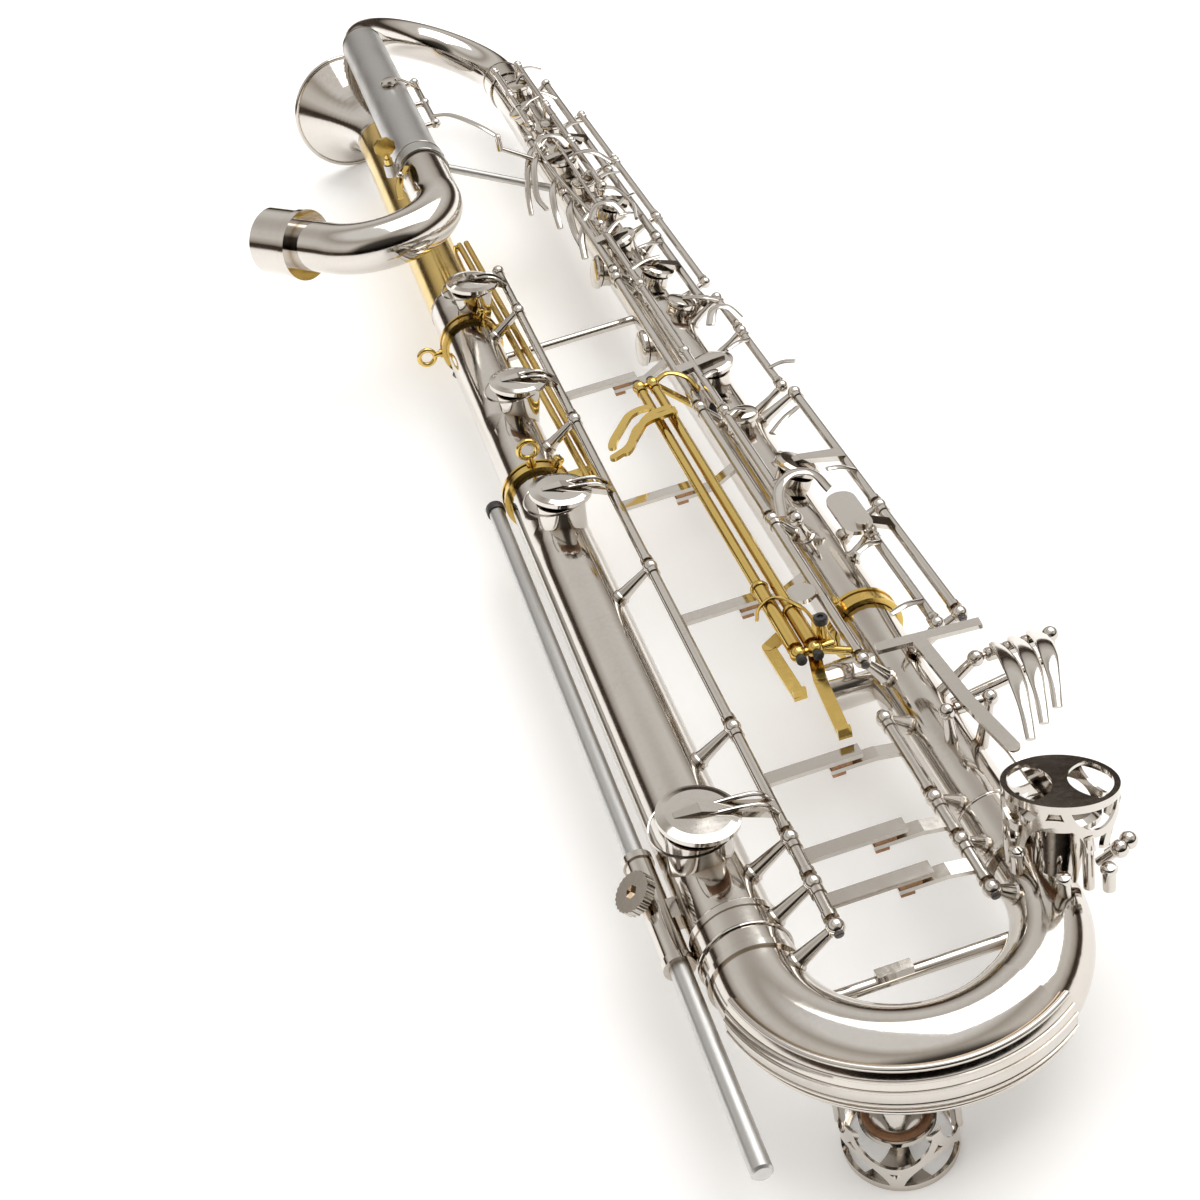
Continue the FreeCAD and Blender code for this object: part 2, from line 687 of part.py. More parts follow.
def hub(line, start, end):
    """Key tube on the rod, between two balls and clear of both."""
    first = start
    last = end
    for y in LINES[line]["posts"]:
        if abs(y - start) < BALL + 1:
            first = y + BALL + GAP
        if abs(y - end) < BALL + 1:
            last = y - BALL - GAP
    tube = Part.makeCylinder(HUB, last - first, line_point(line, first), ALONG)
    for y in (first, last - 3):
        tube = tube.fuse(Part.makeCylinder(HUB + 0.6, 3, line_point(line, y), ALONG))
    return tube


def bore_of(line):
    """Space of the hinge rod through a key's hub."""
    posts = LINES[line]["posts"]
    length = max(posts) - min(posts) + 20
    return Part.makeCylinder(HUB_BORE, length, line_point(line, min(posts) - 10), ALONG)


def cup_shapes(tube_x, y, offset, tilt, radius, seat):
    """Domed key cup and the leather pad inside it, over a chimney of the tube."""
    foot = at(tube_x, y, 0)
    base = at(tube_x + offset, y, seat + dim("PadGap"))
    height = dim("CupHeight")
    pad_thickness = dim("PadThickness")
    pad_radius = radius - 1.2
    pad = revolve_profile(
        [(0, 0), (0, pad_radius - 0.8), (0.8, pad_radius), (pad_thickness, pad_radius),
         (pad_thickness, 0)], base, UP)
    outline = [(pad_thickness - 1.8, pad_radius), (pad_thickness - 1.8, radius),
               (pad_thickness + 0.6, radius), (height - 0.6, radius * 0.93),
               (height + 0.2, radius * 0.78), (height + 0.9, 0),
               (pad_thickness, 0), (pad_thickness, pad_radius)]
    cup = revolve_profile(outline, base, UP)
    crown = base + UP * (height + 0.9)
    return tilted(cup, foot, tilt), tilted(pad, foot, tilt), tilted_point(crown, foot, tilt)


def opened(shape, line, side):
    """Cup, pad or arm turned up about its hinge; side is +1 for cups left of the hinge."""
    return tilted(shape, line_point(line, 0), side * dim("CupOpening"))


def tilted_point(point, centre, degrees):
    turn = FreeCAD.Rotation(ALONG, degrees)
    return centre + turn.multVec(point.sub(centre))


def cup_arm(line, y, crown, radius):
    """Tapered arm from the hub over the top of the cup, to its middle and beyond."""
    start = line_point(line, y) + UP * (HUB - 1.2)
    across = crown.sub(start)
    across.normalize()
    middle = crown + UP * 0.8
    tip = middle + Vector(across.x, across.y, 0) * (radius * 0.62) - UP * 0.9
    first = bar(start, middle, 9.5, 3.6, 6.5, 2.8)
    second = bar(middle - across * 0.8, tip, 6.5, 2.8, 3.4, 1.6)
    return first.fuse(second)


# Keys of the left tube

LEFT_SEAT = 30.5

LEFT_KEYS = [
    {"name": "left_key_1", "y": 640.0, "offset": 9.0, "radius": dim("LeftCupRadius"), "hub": (598.5, 666)},
    {"name": "left_key_2", "y": 486.0, "offset": 8.0, "radius": dim("LeftCupRadius"),
     "hub": (438.5, 598.5), "lever": 468.0},
    {"name": "left_key_3", "y": 350.0, "offset": 3.0, "radius": dim("LeftCupRadius"),
     "hub": (269, 438.5), "lever": 332.0},
    {"name": "left_key_4", "y": 66.0, "offset": -3.0, "radius": dim("LowCupRadius"),
     "hub": (47.5, 127), "lever": 86.0},
]

LINK_LEVERS = [
    {"name": "link_lever_1", "hub": (127, 269), "lever": 216.0},
    {"name": "link_lever_2", "hub": (18.5, 47.5), "lever": 34.0},
    {"name": "link_lever_3", "hub": (-8, 18.5), "lever": 6.0},
]

LEVER_REACH = 20.0
LEVER_WIDTH = 7.5
LEVER_THICKNESS = 2.4


def crossing_lever(y):
    """Flat lever from the left hinge towards the keys of the main tube."""
    start = line_point("left", y) + ACROSS * (HUB - 0.8)
    end = at(LEVER_REACH, y, LINES["left"]["z"])
    return bar(start, end, LEVER_WIDTH, LEVER_THICKNESS)


def make_left_key(spec):
    line = "left"
    cup, pad, crown = cup_shapes(
        LEFT, spec["y"], spec["offset"], dim("LeftCupTilt"), spec["radius"], LEFT_SEAT)
    pad = opened(pad, line, 1)
    top = opened(cup.fuse(cup_arm(line, spec["y"], crown, spec["radius"])), line, 1)
    shape = hub(line, *spec["hub"]).fuse(top)
    if "lever" in spec:
        shape = shape.fuse(crossing_lever(spec["lever"]))
    add_node(spec["name"], shape.cut(bore_of(line)).cut(pad))
    add_node(spec["name"].replace("key", "pad"), pad)


def make_link_lever(spec):
    """Lever of the left hinge that has no cup of its own."""
    shape = hub("left", *spec["hub"]).fuse(crossing_lever(spec["lever"]))
    add_node(spec["name"], shape.cut(bore_of("left")))


# Arms of the main tube that lift the crossing levers

LIFT_ARMS = [
    {"name": "lift_arm_1", "line": "inner", "hub": (273, 404), "arm": 332.0},
    {"name": "lift_arm_2", "line": "inner", "hub": (141, 273), "arm": 216.0, "disc": True},
    {"name": "lift_arm_3", "line": "low", "hub": (50, 108), "arm": 86.0},
    {"name": "lift_arm_4", "line": "low", "hub": (21.5, 50), "arm": 34.0},
    {"name": "lift_arm_5", "line": "low", "hub": (-9, 21.5), "arm": 6.0},
]

LIFT_DROP = 4.8
LIFT_TIP = 4.0


def lift_bar(line, y):
    """Flat arm that ends just under a crossing lever of the left hinge."""
    height = LINES["left"]["z"] - LIFT_DROP
    knee = at(LEVER_REACH + 6, y, height)
    end = at(LIFT_TIP, y, height)
    first = bar(line_point(line, y) - ACROSS * (HUB - 0.8), knee, LEVER_WIDTH, LEVER_THICKNESS)
    return first.fuse(bar(knee + ACROSS * 1.2, end, LEVER_WIDTH, LEVER_THICKNESS))


def make_lift_arm(spec):
    """Key tube of the main tube's hinge with the arm that works a crossing lever."""
    line = spec["line"]
    shape = hub(line, *spec["hub"]).fuse(lift_bar(line, spec["arm"]))
    if spec.get("disc"):
        shape = shape.fuse(make_touch_disc_arm())
    add_node(spec["name"], shape.cut(bore_of(line)))


# Cups of the main tube

RIGHT_KEYS = [
    {"name": "side_key_1", "y": 860.0, "tilt": 20.0, "radius": 12.5, "seat": 22.0, "line": "side",
     "hub": (790, 1006)},
    {"name": "side_key_2", "y": 722.0, "tilt": 20.0, "radius": 12.5, "seat": 22.0, "line": "side",
     "hub": (655, 790)},
    {"name": "side_key_3", "y": 600.0, "tilt": 20.0, "radius": 12.5, "seat": 22.0, "line": "side",
     "hub": (545, 655)},
    {"name": "main_key_1", "y": 449.0, "tilt": 4.0, "radius": 13.5, "seat": 23.0, "line": "inner",
     "hub": (404, 598), "arm": 468.0},
    {"name": "outer_key_1", "y": 320.0, "tilt": 25.0, "radius": 13.5, "seat": 22.0, "line": "outer",
     "hub": (265, 400)},
    {"name": "upper_key_1", "y": 826.0, "tilt": -4.0, "radius": 12.0, "seat": 21.5, "line": "upper",
     "hub": (760, 880)},
    {"name": "upper_key_2", "y": 660.0, "tilt": -4.0, "radius": 12.0, "seat": 21.5, "line": "upper",
     "hub": (612, 760)},
]


def make_right_key(spec):
    line = spec["line"]
    cup, pad, crown = cup_shapes(
        RIGHT, spec["y"], 0, spec["tilt"], spec["radius"], spec["seat"])
    side = 1 if LINES[line]["x"] > RIGHT else -1
    top = cup.fuse(pad).fuse(cup_arm(line, spec["y"], crown, spec["radius"]))
    shape = hub(line, *spec["hub"]).fuse(opened(top, line, side))
    if "arm" in spec:
        shape = shape.fuse(lift_bar(line, spec["arm"]))
    add_node(spec["name"], shape.cut(bore_of(line)))


# Braces, clamps and strap eyelets

def make_middle_brace():
    """Round bar between the two long tubes, bound to the sheet."""
    node = doc.addObject("Part::Cylinder", "MiddleBrace")
    left_surface = LEFT + left_tube_radius(585)
    right_surface = RIGHT - dim("BodyRadius")
    node.setExpression("Radius", "Dimensions.BraceRadius")
    node.Height = right_surface - left_surface
    node.Placement = FreeCAD.Placement(at(left_surface, 585, 0), FreeCAD.Rotation(UP, ACROSS))
    return add_bound(node, "middle_brace", {})


CLAMPS = [
    {"x": LEFT, "y": 619.0, "angle": 60.0, "eye": -ACROSS},
    {"x": LEFT, "y": 408.0, "angle": 50.0, "eye": UP},
    {"x": RIGHT, "y": 199.0, "angle": 125.0},
]


def clamp_inner(spec):
    if spec["x"] == LEFT:
        return left_tube_radius(spec["y"] - dim("ClampWidth") / 2)
    return dim("BodyRadius")


def clamp_band(spec):
    """Brass band round a tube, split on one side and closed by a small screw."""
    inner = clamp_inner(spec)
    outer = inner + dim("ClampThickness")
    centre = at(spec["x"], spec["y"], 0)
    width = dim("ClampWidth")
    start = centre - ALONG * (width / 2)
    shape = ring(centre, ALONG, outer, inner, width)
    for y in (-width / 2 + 1.0, width / 2 - 1.0):
        shape = shape.fuse(ring(centre + ALONG * y, ALONG, outer + 0.7, outer - 0.5, 2.0))
    angle = math.radians(spec["angle"])
    out = Vector(math.cos(angle), 0, math.sin(angle))
    ear = Part.makeCylinder(3.4, 5.2, centre + out * (outer - 1.0), out)
    shape = shape.fuse(ear)
    slot = Part.makeBox(1.0, width + 4, 14, Vector(-0.5, -width / 2 - 2, inner - 1))
    slot.Placement = FreeCAD.Placement(centre, FreeCAD.Rotation(UP, out)).multiply(slot.Placement)
    shape = shape.cut(slot)
    if "eye" in spec:
        shape = shape.fuse(strap_eye(spec, spec["eye"], 11.5))
    return shape.cut(Part.makeCylinder(inner, width + 6, start - ALONG * 3, ALONG))


def strap_eye(clamp, out, reach):
    """Round strap eye on a stem that stands on a clamp."""
    centre = at(clamp["x"], clamp["y"], 0)
    outer = clamp_inner(clamp) + dim("ClampThickness")
    eye = 5.6
    stem = Part.makeCylinder(1.9, reach - eye + 1.6, centre + out * (outer - 1), out)
    collar = Part.makeCylinder(3.0, 3.2, centre + out * (outer - 1), out)
    loop = Part.makeTorus(eye, 1.7, centre + out * (outer + reach), ALONG)
    return stem.fuse(collar).fuse(loop)


def make_clamps():
    return add_node("tube_clamps", Part.makeCompound([clamp_band(spec) for spec in CLAMPS]))


# Brass linkage between the hinges

def make_brass_frame():
    """Two rods over the gap between the tubes, with the balls and struts that hold them."""
    lines = ("brass_a", "brass_b")
    shape = None
    for line in lines:
        posts = LINES[line]["posts"]
        piece = Part.makeCylinder(ROD, max(posts) - min(posts), line_point(line, min(posts)), ALONG)
        for y in posts:
            piece = piece.fuse(Part.makeSphere(BALL, line_point(line, y)))
        shape = piece if shape is None else shape.fuse(piece)
    for y in LINES["brass_a"]["posts"]:
        shape = shape.fuse(rod_between(line_point("brass_a", y), line_point("brass_b", y), 2.0))
    tube = outer_tube(RIGHT, dim("BodyRadius"), 150, 460)
    upper = rod_between(line_point("brass_b", 430), at(52, 430, 8), 2.2)
    band = clamp_inner(CLAMPS[2]) + dim("ClampThickness") + 0.7
    clamp_space = outer_tube(RIGHT, band, 199 - dim("ClampWidth") / 2, 199 + dim("ClampWidth") / 2)
    path = [line_point("brass_b", 148), at(31.5, 149, 37), at(31.5, 172, 36),
            at(30.5, 174, 18), at(48, 197, 9)]
    shape = shape.fuse(upper)
    for start, end in zip(path, path[1:]):
        shape = shape.fuse(rod_between(start, end, 2.3)).fuse(Part.makeSphere(2.3, end))
    return add_node("brass_frame", above(shape.cut(tube).cut(clamp_space)))


def polyline_bars(points, width, thickness):
    """Flat lever that follows a few points, its corners closed by round bosses."""
    shape = None
    for start, end in zip(points, points[1:]):
        piece = bar(start, end, width, thickness)
        shape = piece if shape is None else shape.fuse(piece)
    for corner in points[1:-1]:
        shape = shape.fuse(Part.makeCylinder(
            width / 2, thickness, corner - UP * (thickness / 2), UP))
    return shape


def swan_lever(start, heading, legs, width, thickness):
    """Flat curved lever: legs are (radius, degrees to the left) bends or (0, length) runs."""
    angle = math.radians(heading)
    shape = None
    for radius, amount in legs:
        way = Vector(math.cos(angle), math.sin(angle), 0)
        side = Vector(-way.y, way.x, 0)
        corners = []
        for i, j in ((-1, -1), (1, -1), (1, 1), (-1, 1)):
            corners.append(start + side * (i * width / 2) + UP * (j * thickness / 2))
        face = Part.Face(Part.makePolygon(corners + [corners[0]]))
        if radius == 0:
            piece = face.extrude(way * amount)
            start = start + way * amount
        else:
            centre = start + side * math.copysign(radius, amount)
            piece = face.revolve(centre, UP, amount)
            turn = math.radians(amount)
            spoke = start.sub(centre)
            start = centre + Vector(spoke.x * math.cos(turn) - spoke.y * math.sin(turn),
                                    spoke.x * math.sin(turn) + spoke.y * math.cos(turn), 0)
            angle += turn
        shape = piece if shape is None else shape.fuse(piece)
    return shape.fuse(Part.makeCylinder(width / 2, thickness, start - UP * (thickness / 2), UP))


def make_brass_key(label, line, claw, paddle, sleeve_end):
    """Long brass key with a swan-necked claw at the top and a paddle at the bottom."""
    shape = hub(line, 148, 430)
    first = 148 + BALL + GAP
    shape = shape.fuse(Part.makeCylinder(HUB + 1.0, sleeve_end - first, line_point(line, first), ALONG))
    for start, heading, legs in claw:
        shape = shape.fuse(swan_lever(at(*start), heading, legs, 5.0, 2.2))
        post = at(start[0], start[1], line_point(line, 0).z - at(0, 0, 0).z)
        shape = shape.fuse(rod_between(post, at(*start), 2.4))
    shape = shape.fuse(polyline_bars([at(*point) for point in paddle], 6.5, 2.2))
    lip_x, lip_y, lip_z = paddle[-1]
    shape = shape.fuse(Part.makeBox(6.5, 2.2, 6.0, at(lip_x - 3.25, lip_y, lip_z - 1.1)))
    return add_node(label, shape.cut(bore_of(line)))


def make_linkage_rods():
    """Pair of slanting brass rods beside the left tube, held by both clamps."""
    shape = None
    for offset in (0.0, 5.6):
        rod = rod_between(at(-41.6 + offset, 768, 6), at(-32.5 + offset, 385, 6), 2.3)
        shape = rod if shape is None else shape.fuse(rod)
    for y, x in ((619.0, -38.2), (408.0, -33.0)):
        strap = Part.makeBox(20, 7, 3.2, at(x - 12, y - 3.5, 4.4))
        strap = strap.cut(outer_tube(LEFT, left_tube_radius(y) + dim("ClampThickness"), y - 6, y + 6))
        shape = shape.fuse(strap)
    foot = Part.makeCylinder(2.6, 14, at(LEFT + 8, 764, 6), ACROSS)
    foot = foot.cut(outer_tube(LEFT, dim("BellTubeEndRadius") + 0.3, 750, 780))
    shape = shape.fuse(foot)
    clamps = [outer_tube(LEFT, left_tube_radius(y) + dim("ClampThickness") + 0.8, y - 5.2, y + 5.2)
              for y in (619.0, 408.0)]
    for clamp in clamps:
        shape = shape.cut(clamp)
    return add_node("linkage_rods", shape)


# Key guards and the big keys under them

GUARD_1_START = 3.0
GUARD_1_PHASE = 103.0
GUARD_1_FEET = (180.0, 270.0, 116.0)
GUARD_2_PHASE = 45.0
GUARD_2_FEET = ((0.0, 16.8), (180.0, 16.8), (39.0, 7.5), (141.0, 7.5))


def guard_out(seat, degrees):
    """Direction straight out of a guard's wall at an angle round it."""
    spot = math.radians(degrees)
    return seat.side * math.cos(spot) + seat.forward * math.sin(spot)


def guard_wall(seat, start, height, phase):
    """Wall of a guard: a band under the rim, and arcs that hang from it and rise to meet them."""
    radius = dim("GuardRadius")
    wall = dim("GuardWall")
    arc = math.hypot(math.pi * radius / 4, height - start) / 2 + dim("GuardArcOverlap")
    band = dim("GuardBand")
    shell = Part.makeCylinder(radius, height - start, seat.point(0, 0, start), seat.up)
    shell = shell.cut(Part.makeCylinder(radius - wall, height - start, seat.point(0, 0, start), seat.up))
    top = Part.makeCylinder(radius + 1, band, seat.point(0, 0, height - band), seat.up)
    lattice = shell.common(top)
    for i in range(4):
        for degrees, level in ((phase + 90 * i, height), (phase + 45 + 90 * i, start)):
            out = guard_out(seat, degrees)
            centre = seat.point(0, 0, level)
            strip = Part.makeCylinder(arc, radius + 2, centre, out)
            strip = strip.cut(Part.makeCylinder(arc - band, radius + 2, centre, out))
            lattice = lattice.fuse(shell.common(strip))
    return lattice


def make_guard(seat, start, height, turn, phase):
    """Pierced guard over a key: lattice wall and a lid with a waisted bridge."""
    radius = dim("GuardRadius")
    wall = dim("GuardWall")
    lid = Part.makeCylinder(radius, wall, seat.point(0, 0, height - wall), seat.up)
    across = guard_out(seat, turn)
    for sign in (1, -1):
        opening = Part.makeCylinder(radius - dim("GuardRim"), wall + 2, seat.point(0, 0, height - wall - 1), seat.up)
        centre = seat.point(0, 0, height - wall - 1) + across * (sign * radius * 0.93)
        lid = lid.cut(opening.common(Part.makeCylinder(radius * 0.80, wall + 2, centre, seat.up)))
    return guard_wall(seat, start, height, phase).fuse(lid)


def guard_foot(seat, degrees, level):
    """Middle of a guard's wall at an angle round it and a height above its seat."""
    middle = dim("GuardRadius") - dim("GuardWall") / 2
    return seat.point(0, 0, level) + guard_out(seat, degrees) * middle


def make_guard_1():
    """Guard over the bow's right leg, on three screw posts."""
    shape = make_guard(GUARD_SEAT_1, GUARD_1_START, 25.0, -18, GUARD_1_PHASE)
    for degrees in GUARD_1_FEET:
        top = guard_foot(GUARD_SEAT_1, degrees, GUARD_1_START + 7.5)
        post = Part.makeCylinder(2.4, 30, top - UP * 30, UP).cut(bow_solid(0))
        post = post.cut(outer_tube(RIGHT, dim("LowerBodyRadius") + 3.2, 12, 60))
        shape = shape.fuse(above(post))
    return add_node("key_guard_1", shape)


def above(shape):
    """The piece of a trimmed shape that is left outside the tube: the largest."""
    return max(shape.Solids, key=lambda solid: solid.Volume)


def make_guard_2():
    """Guard under the bow, whose flat rim is one of the places the instrument rests on."""
    shape = make_guard(GUARD_SEAT_2, 0, dim("AxisZ") - 22.0, 0, GUARD_2_PHASE)
    for degrees, level in GUARD_2_FEET:
        post = Part.makeCylinder(2.4, 27, guard_foot(GUARD_SEAT_2, degrees, level), UP)
        shape = shape.fuse(above(post.cut(bow_solid(0))))
    return add_node("key_guard_2", shape)


def seat_cup(seat, radius, seat_height):
    """Cup and pad over a big tone hole, in the seat's own directions."""
    base = seat.point(0, 0, seat_height)
    pad = revolve_profile(
        [(0, 0), (0, radius - 2.0), (0.8, radius - 1.2), (3.0, radius - 1.2), (3.0, 0)], base, seat.up)
    cup = revolve_profile(
        [(1.2, radius - 1.2), (1.2, radius), (3.6, radius), (4.6, radius * 0.8), (5.2, 0),
         (3.0, 0), (3.0, radius - 1.2)], base, seat.up)
    return cup, pad


def make_low_key_1():
    """Big key on the bow's right leg, worked by a long lever over the main tube."""
    cup, pad = seat_cup(GUARD_SEAT_1, 17.0, 8.0)
    axle_start = at(66.2, 84, 33)
    shape = Part.makeCylinder(HUB, 12.6, axle_start, ACROSS)
    lever = polyline_bars([at(69, 134, 36.5), at(71.5, 84, 36.5), at(76.5, 46, 36.5),
                           at(79, 31.5, 31), GUARD_SEAT_1.point(0, 6, 14.2)], 6.6, 2.4)
    touch = bar(at(49, 136, 36.5), at(100, 131, 36.5), 6.0, 2.4)
    boss = Part.makeCylinder(3.0, 3.2, GUARD_SEAT_1.point(0, 0, 12.6), GUARD_SEAT_1.up)
    arm = bar(GUARD_SEAT_1.point(0, 8, 14.2), GUARD_SEAT_1.point(0, -9, 13.6), 5.0, 2.0, 3.0, 1.4)
    shape = shape.fuse(lever).fuse(touch).fuse(arm).fuse(boss).fuse(cup)
    bore = Part.makeCylinder(HUB_BORE, 30, at(58, 84, 33), ACROSS)
    add_node("low_key_1", shape.cut(bore).cut(pad))
    add_node("low_pad_1", pad)


def low_key_1_axle():
    """Cross rod of the long lever: two balls, the nearer one on a cone post."""
    first = at(62.0, 84, 33)
    second = at(83.0, 84, 33)
    shape = rod_between(first, second, ROD)
    for ball in (first, second):
        shape = shape.fuse(Part.makeSphere(3.9, ball))
    for ball, foot in ((first, at(63.0, 84, 10)), (second, at(77.0, 84, 6))):
        shape = shape.fuse(rod_between(foot, ball, 3.4, 2.2))
    return shape.cut(outer_tube(RIGHT, dim("LowerBodyRadius"), 70, 98))


LOW_PIVOT_FORWARD = 28.5
LOW_PIVOT_UP = 12.0


def make_low_key_2():
    """Big key under the bow, hinged on the inside of the bend."""
    cup, pad = seat_cup(GUARD_SEAT_2, 16.0, 9.0)
    pivot = GUARD_SEAT_2.point(-6.5, LOW_PIVOT_FORWARD, LOW_PIVOT_UP)
    shape = Part.makeCylinder(HUB, 13.0, pivot, GUARD_SEAT_2.side)
    arm = bar(GUARD_SEAT_2.point(0, LOW_PIVOT_FORWARD, LOW_PIVOT_UP + 0.6),
              GUARD_SEAT_2.point(0, 12, 14.8), 6.0, 2.2)
    reach = polyline_bars([GUARD_SEAT_2.point(0, 13, 14.4), GUARD_SEAT_2.point(0, -9, 14.4)], 5.0, 2.0)
    shape = shape.fuse(arm).fuse(reach).fuse(cup)
    bore = Part.makeCylinder(HUB_BORE, 40, GUARD_SEAT_2.point(-20, LOW_PIVOT_FORWARD, LOW_PIVOT_UP), GUARD_SEAT_2.side)
    add_node("low_key_2", shape.cut(bore).cut(pad))
    add_node("low_pad_2", pad)


def low_key_2_axle():
    """Cross rod under the bow, its balls on bent posts from the inside of the bend."""
    first = GUARD_SEAT_2.point(-11.0, LOW_PIVOT_FORWARD, LOW_PIVOT_UP)
    second = GUARD_SEAT_2.point(11.0, LOW_PIVOT_FORWARD, LOW_PIVOT_UP)
    shape = rod_between(first, second, ROD)
    for ball in (first, second):
        shape = shape.fuse(Part.makeSphere(3.6, ball))
        shape = shape.fuse(rod_between(ball, ball - GUARD_SEAT_2.up * 34 - GUARD_SEAT_2.forward * 7.5, 2.4, 3.0))
    return above(shape.cut(bow_solid(0)))


# Right hand touches

FINGER_Y = 122.0
FINGER_Z = 24.0
FINGER_HUB = 9.0


def finger_key_axle():
    """Cross rod of the little finger keys, held at both ends."""
    first = at(92.5, FINGER_Y, FINGER_Z)
    second = at(92.5 + 10.4 + 3 * FINGER_HUB + 2 * GAP, FINGER_Y, FINGER_Z)
    shape = rod_between(first, second, ROD)
    for ball in (first, second):
        shape = shape.fuse(Part.makeSphere(4.0, ball))
    drop = second - UP * 15
    shape = shape.fuse(rod_between(second, drop, 2.4))
    shape = shape.fuse(Part.makeSphere(2.8, drop))
    shape = shape.fuse(rod_between(drop, at(RIGHT, FINGER_Y, -2), 2.8))
    shape = shape.fuse(rod_between(first, at(RIGHT, FINGER_Y, 2), 2.4, 3.4))
    return shape.cut(outer_tube(RIGHT, dim("LowerBodyRadius"), 100, 140))


def make_cross_axles():
    """The three short hinge rods that lie across the instrument."""
    axles = [low_key_1_axle(), low_key_2_axle(), finger_key_axle()]
    return add_node("cross_axles", Part.makeCompound(axles))


def make_finger_key(index):
    """Long curved touch plate on a short hub."""
    left_end = 92.5 + 4.0 + GAP + 0.85 + index * (FINGER_HUB + GAP)
    hub_start = at(left_end, FINGER_Y, FINGER_Z)
    middle = left_end + FINGER_HUB / 2
    shape = Part.makeCylinder(HUB + 0.4, FINGER_HUB, hub_start, ACROSS)
    length = 78.0 - 7.0 * index
    path = []
    steps = 5
    for i in range(steps + 1):
        share = i / steps
        path.append(at(middle, FINGER_Y - share * length, FINGER_Z + 4.2 + 7.0 * math.sin(math.pi * share * 0.8)))
    for start, end in zip(path, path[1:]):
        shape = shape.fuse(bar(start, end + (end - start) * 0.04, 7.6, 2.6))
    bore = Part.makeCylinder(HUB_BORE, 60, at(85, FINGER_Y, FINGER_Z), ACROSS)
    shape = shape.fuse(Part.makeBox(7.6, 5, 4, at(middle - 3.8, FINGER_Y - 2.5, FINGER_Z + 1.5)))
    add_node("finger_key_%d" % (index + 1), shape.cut(bore))


def make_thumb_plate():
    """Spatula over the main tube on a hub of the outer hinge."""
    line = "outer"
    shape = hub(line, 160, 265)
    plate = Part.makeCylinder(8.0, 2.4, at(80, 240, 31), UP)
    plate = plate.fuse(Part.makeBox(16, 24, 2.4, at(72, 240, 31)))
    plate = plate.fuse(Part.makeCylinder(8.0, 2.4, at(80, 264, 31), UP))
    boss = Part.makeCylinder(3.4, 4.4, at(82, 238, 31), UP)
    arm = bar(at(84, 244, 31.0), line_point(line, 244) + UP * 1.2, 9.0, 2.6)
    shape = shape.fuse(plate).fuse(boss).fuse(arm)
    return add_node("thumb_plate", shape.cut(bore_of(line)))


def make_touch_disc_arm():
    """Round touch on the side of a lift arm's hub."""
    disc = Part.makeCylinder(7.4, 2.4, at(33.5, 199.5, 30.5), UP)
    stem = bar(at(35, 199.5, 31.0), line_point("inner", 199.5) + UP * 1.2, 6.0, 2.2)
    return disc.fuse(stem)


def finish():
    """Check every object, then write one STEP file for each node."""
    doc.recompute()
    for item in doc.Objects:
        state = " ".join(item.State)
        if "Invalid" in state or "Error" in state:
            raise RuntimeError("%s: %s" % (item.Label, state))
    os.makedirs("parts", exist_ok=True)
    for node in NODES:
        if node.Shape.isNull() or not node.Shape.isValid():
            raise RuntimeError("bad shape: " + node.Label)
        if len(node.Shape.Solids) < 1:
            raise RuntimeError("no solid: " + node.Label)
        node.Shape.exportStep(os.path.join("parts", node.Label + ".step"))
        box = node.Shape.BoundBox
        print("%-18s solids %d  x %.1f..%.1f  y %.1f..%.1f  z %.1f..%.1f" % (
            node.Label, len(node.Shape.Solids),
            box.XMin, box.XMax, box.YMin, box.YMax, box.ZMin, box.ZMax))


make_bottom_bow()
make_bow_guard()
make_bell_tube()
make_bell_sleeve()
make_bell()
make_main_tube()
make_top_bow()
make_upper_tube()
make_neck()
make_neck_screw()
make_endpin()
make_endpin_receiver()
make_endpin_screw()
make_line("left_hinge", "left")
make_line("inner_hinge", "inner")
make_line("low_hinge", "low")
make_line("side_hinge", "side")
make_line("outer_hinge", "outer")
make_line("upper_hinge", "upper")
for spec in LEFT_KEYS:
    make_left_key(spec)
for spec in LINK_LEVERS:
    make_link_lever(spec)
for spec in LIFT_ARMS:
    make_lift_arm(spec)
for spec in RIGHT_KEYS:
    make_right_key(spec)
make_middle_brace()
make_clamps()
make_brass_frame()
make_brass_key(
    "brass_key_1", "brass_a",
    [((14, 400, 40.0), 150, [(13, 85), (0, 20), (30, 18)])],
    [(13, 168, 36), (4, 164, 34), (6, 124, 32)], 205)
make_brass_key(
    "brass_key_2", "brass_b",
    [((22.5, 386, 44.5), 160, [(16, 75), (0, 24), (14, -30), (0, 7)]),
     ((22.5, 382, 44.5), 185, [(0, 12), (18, 58), (0, 12), (20, -22)])],
    [(22.5, 158, 34.5), (22.5, 150, 31.0), (19, 134, 30), (16, 93, 29)], 180)
make_linkage_rods()
make_guard_1()
make_guard_2()
make_low_key_1()
make_low_key_2()
make_cross_axles()
for index in range(3):
    make_finger_key(index)
make_thumb_plate()
finish()
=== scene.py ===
import logging
import math
from dataclasses import dataclass
from enum import Enum
from typing import Optional, Sequence

import bmesh
import bpy
from mathutils import Matrix, Vector


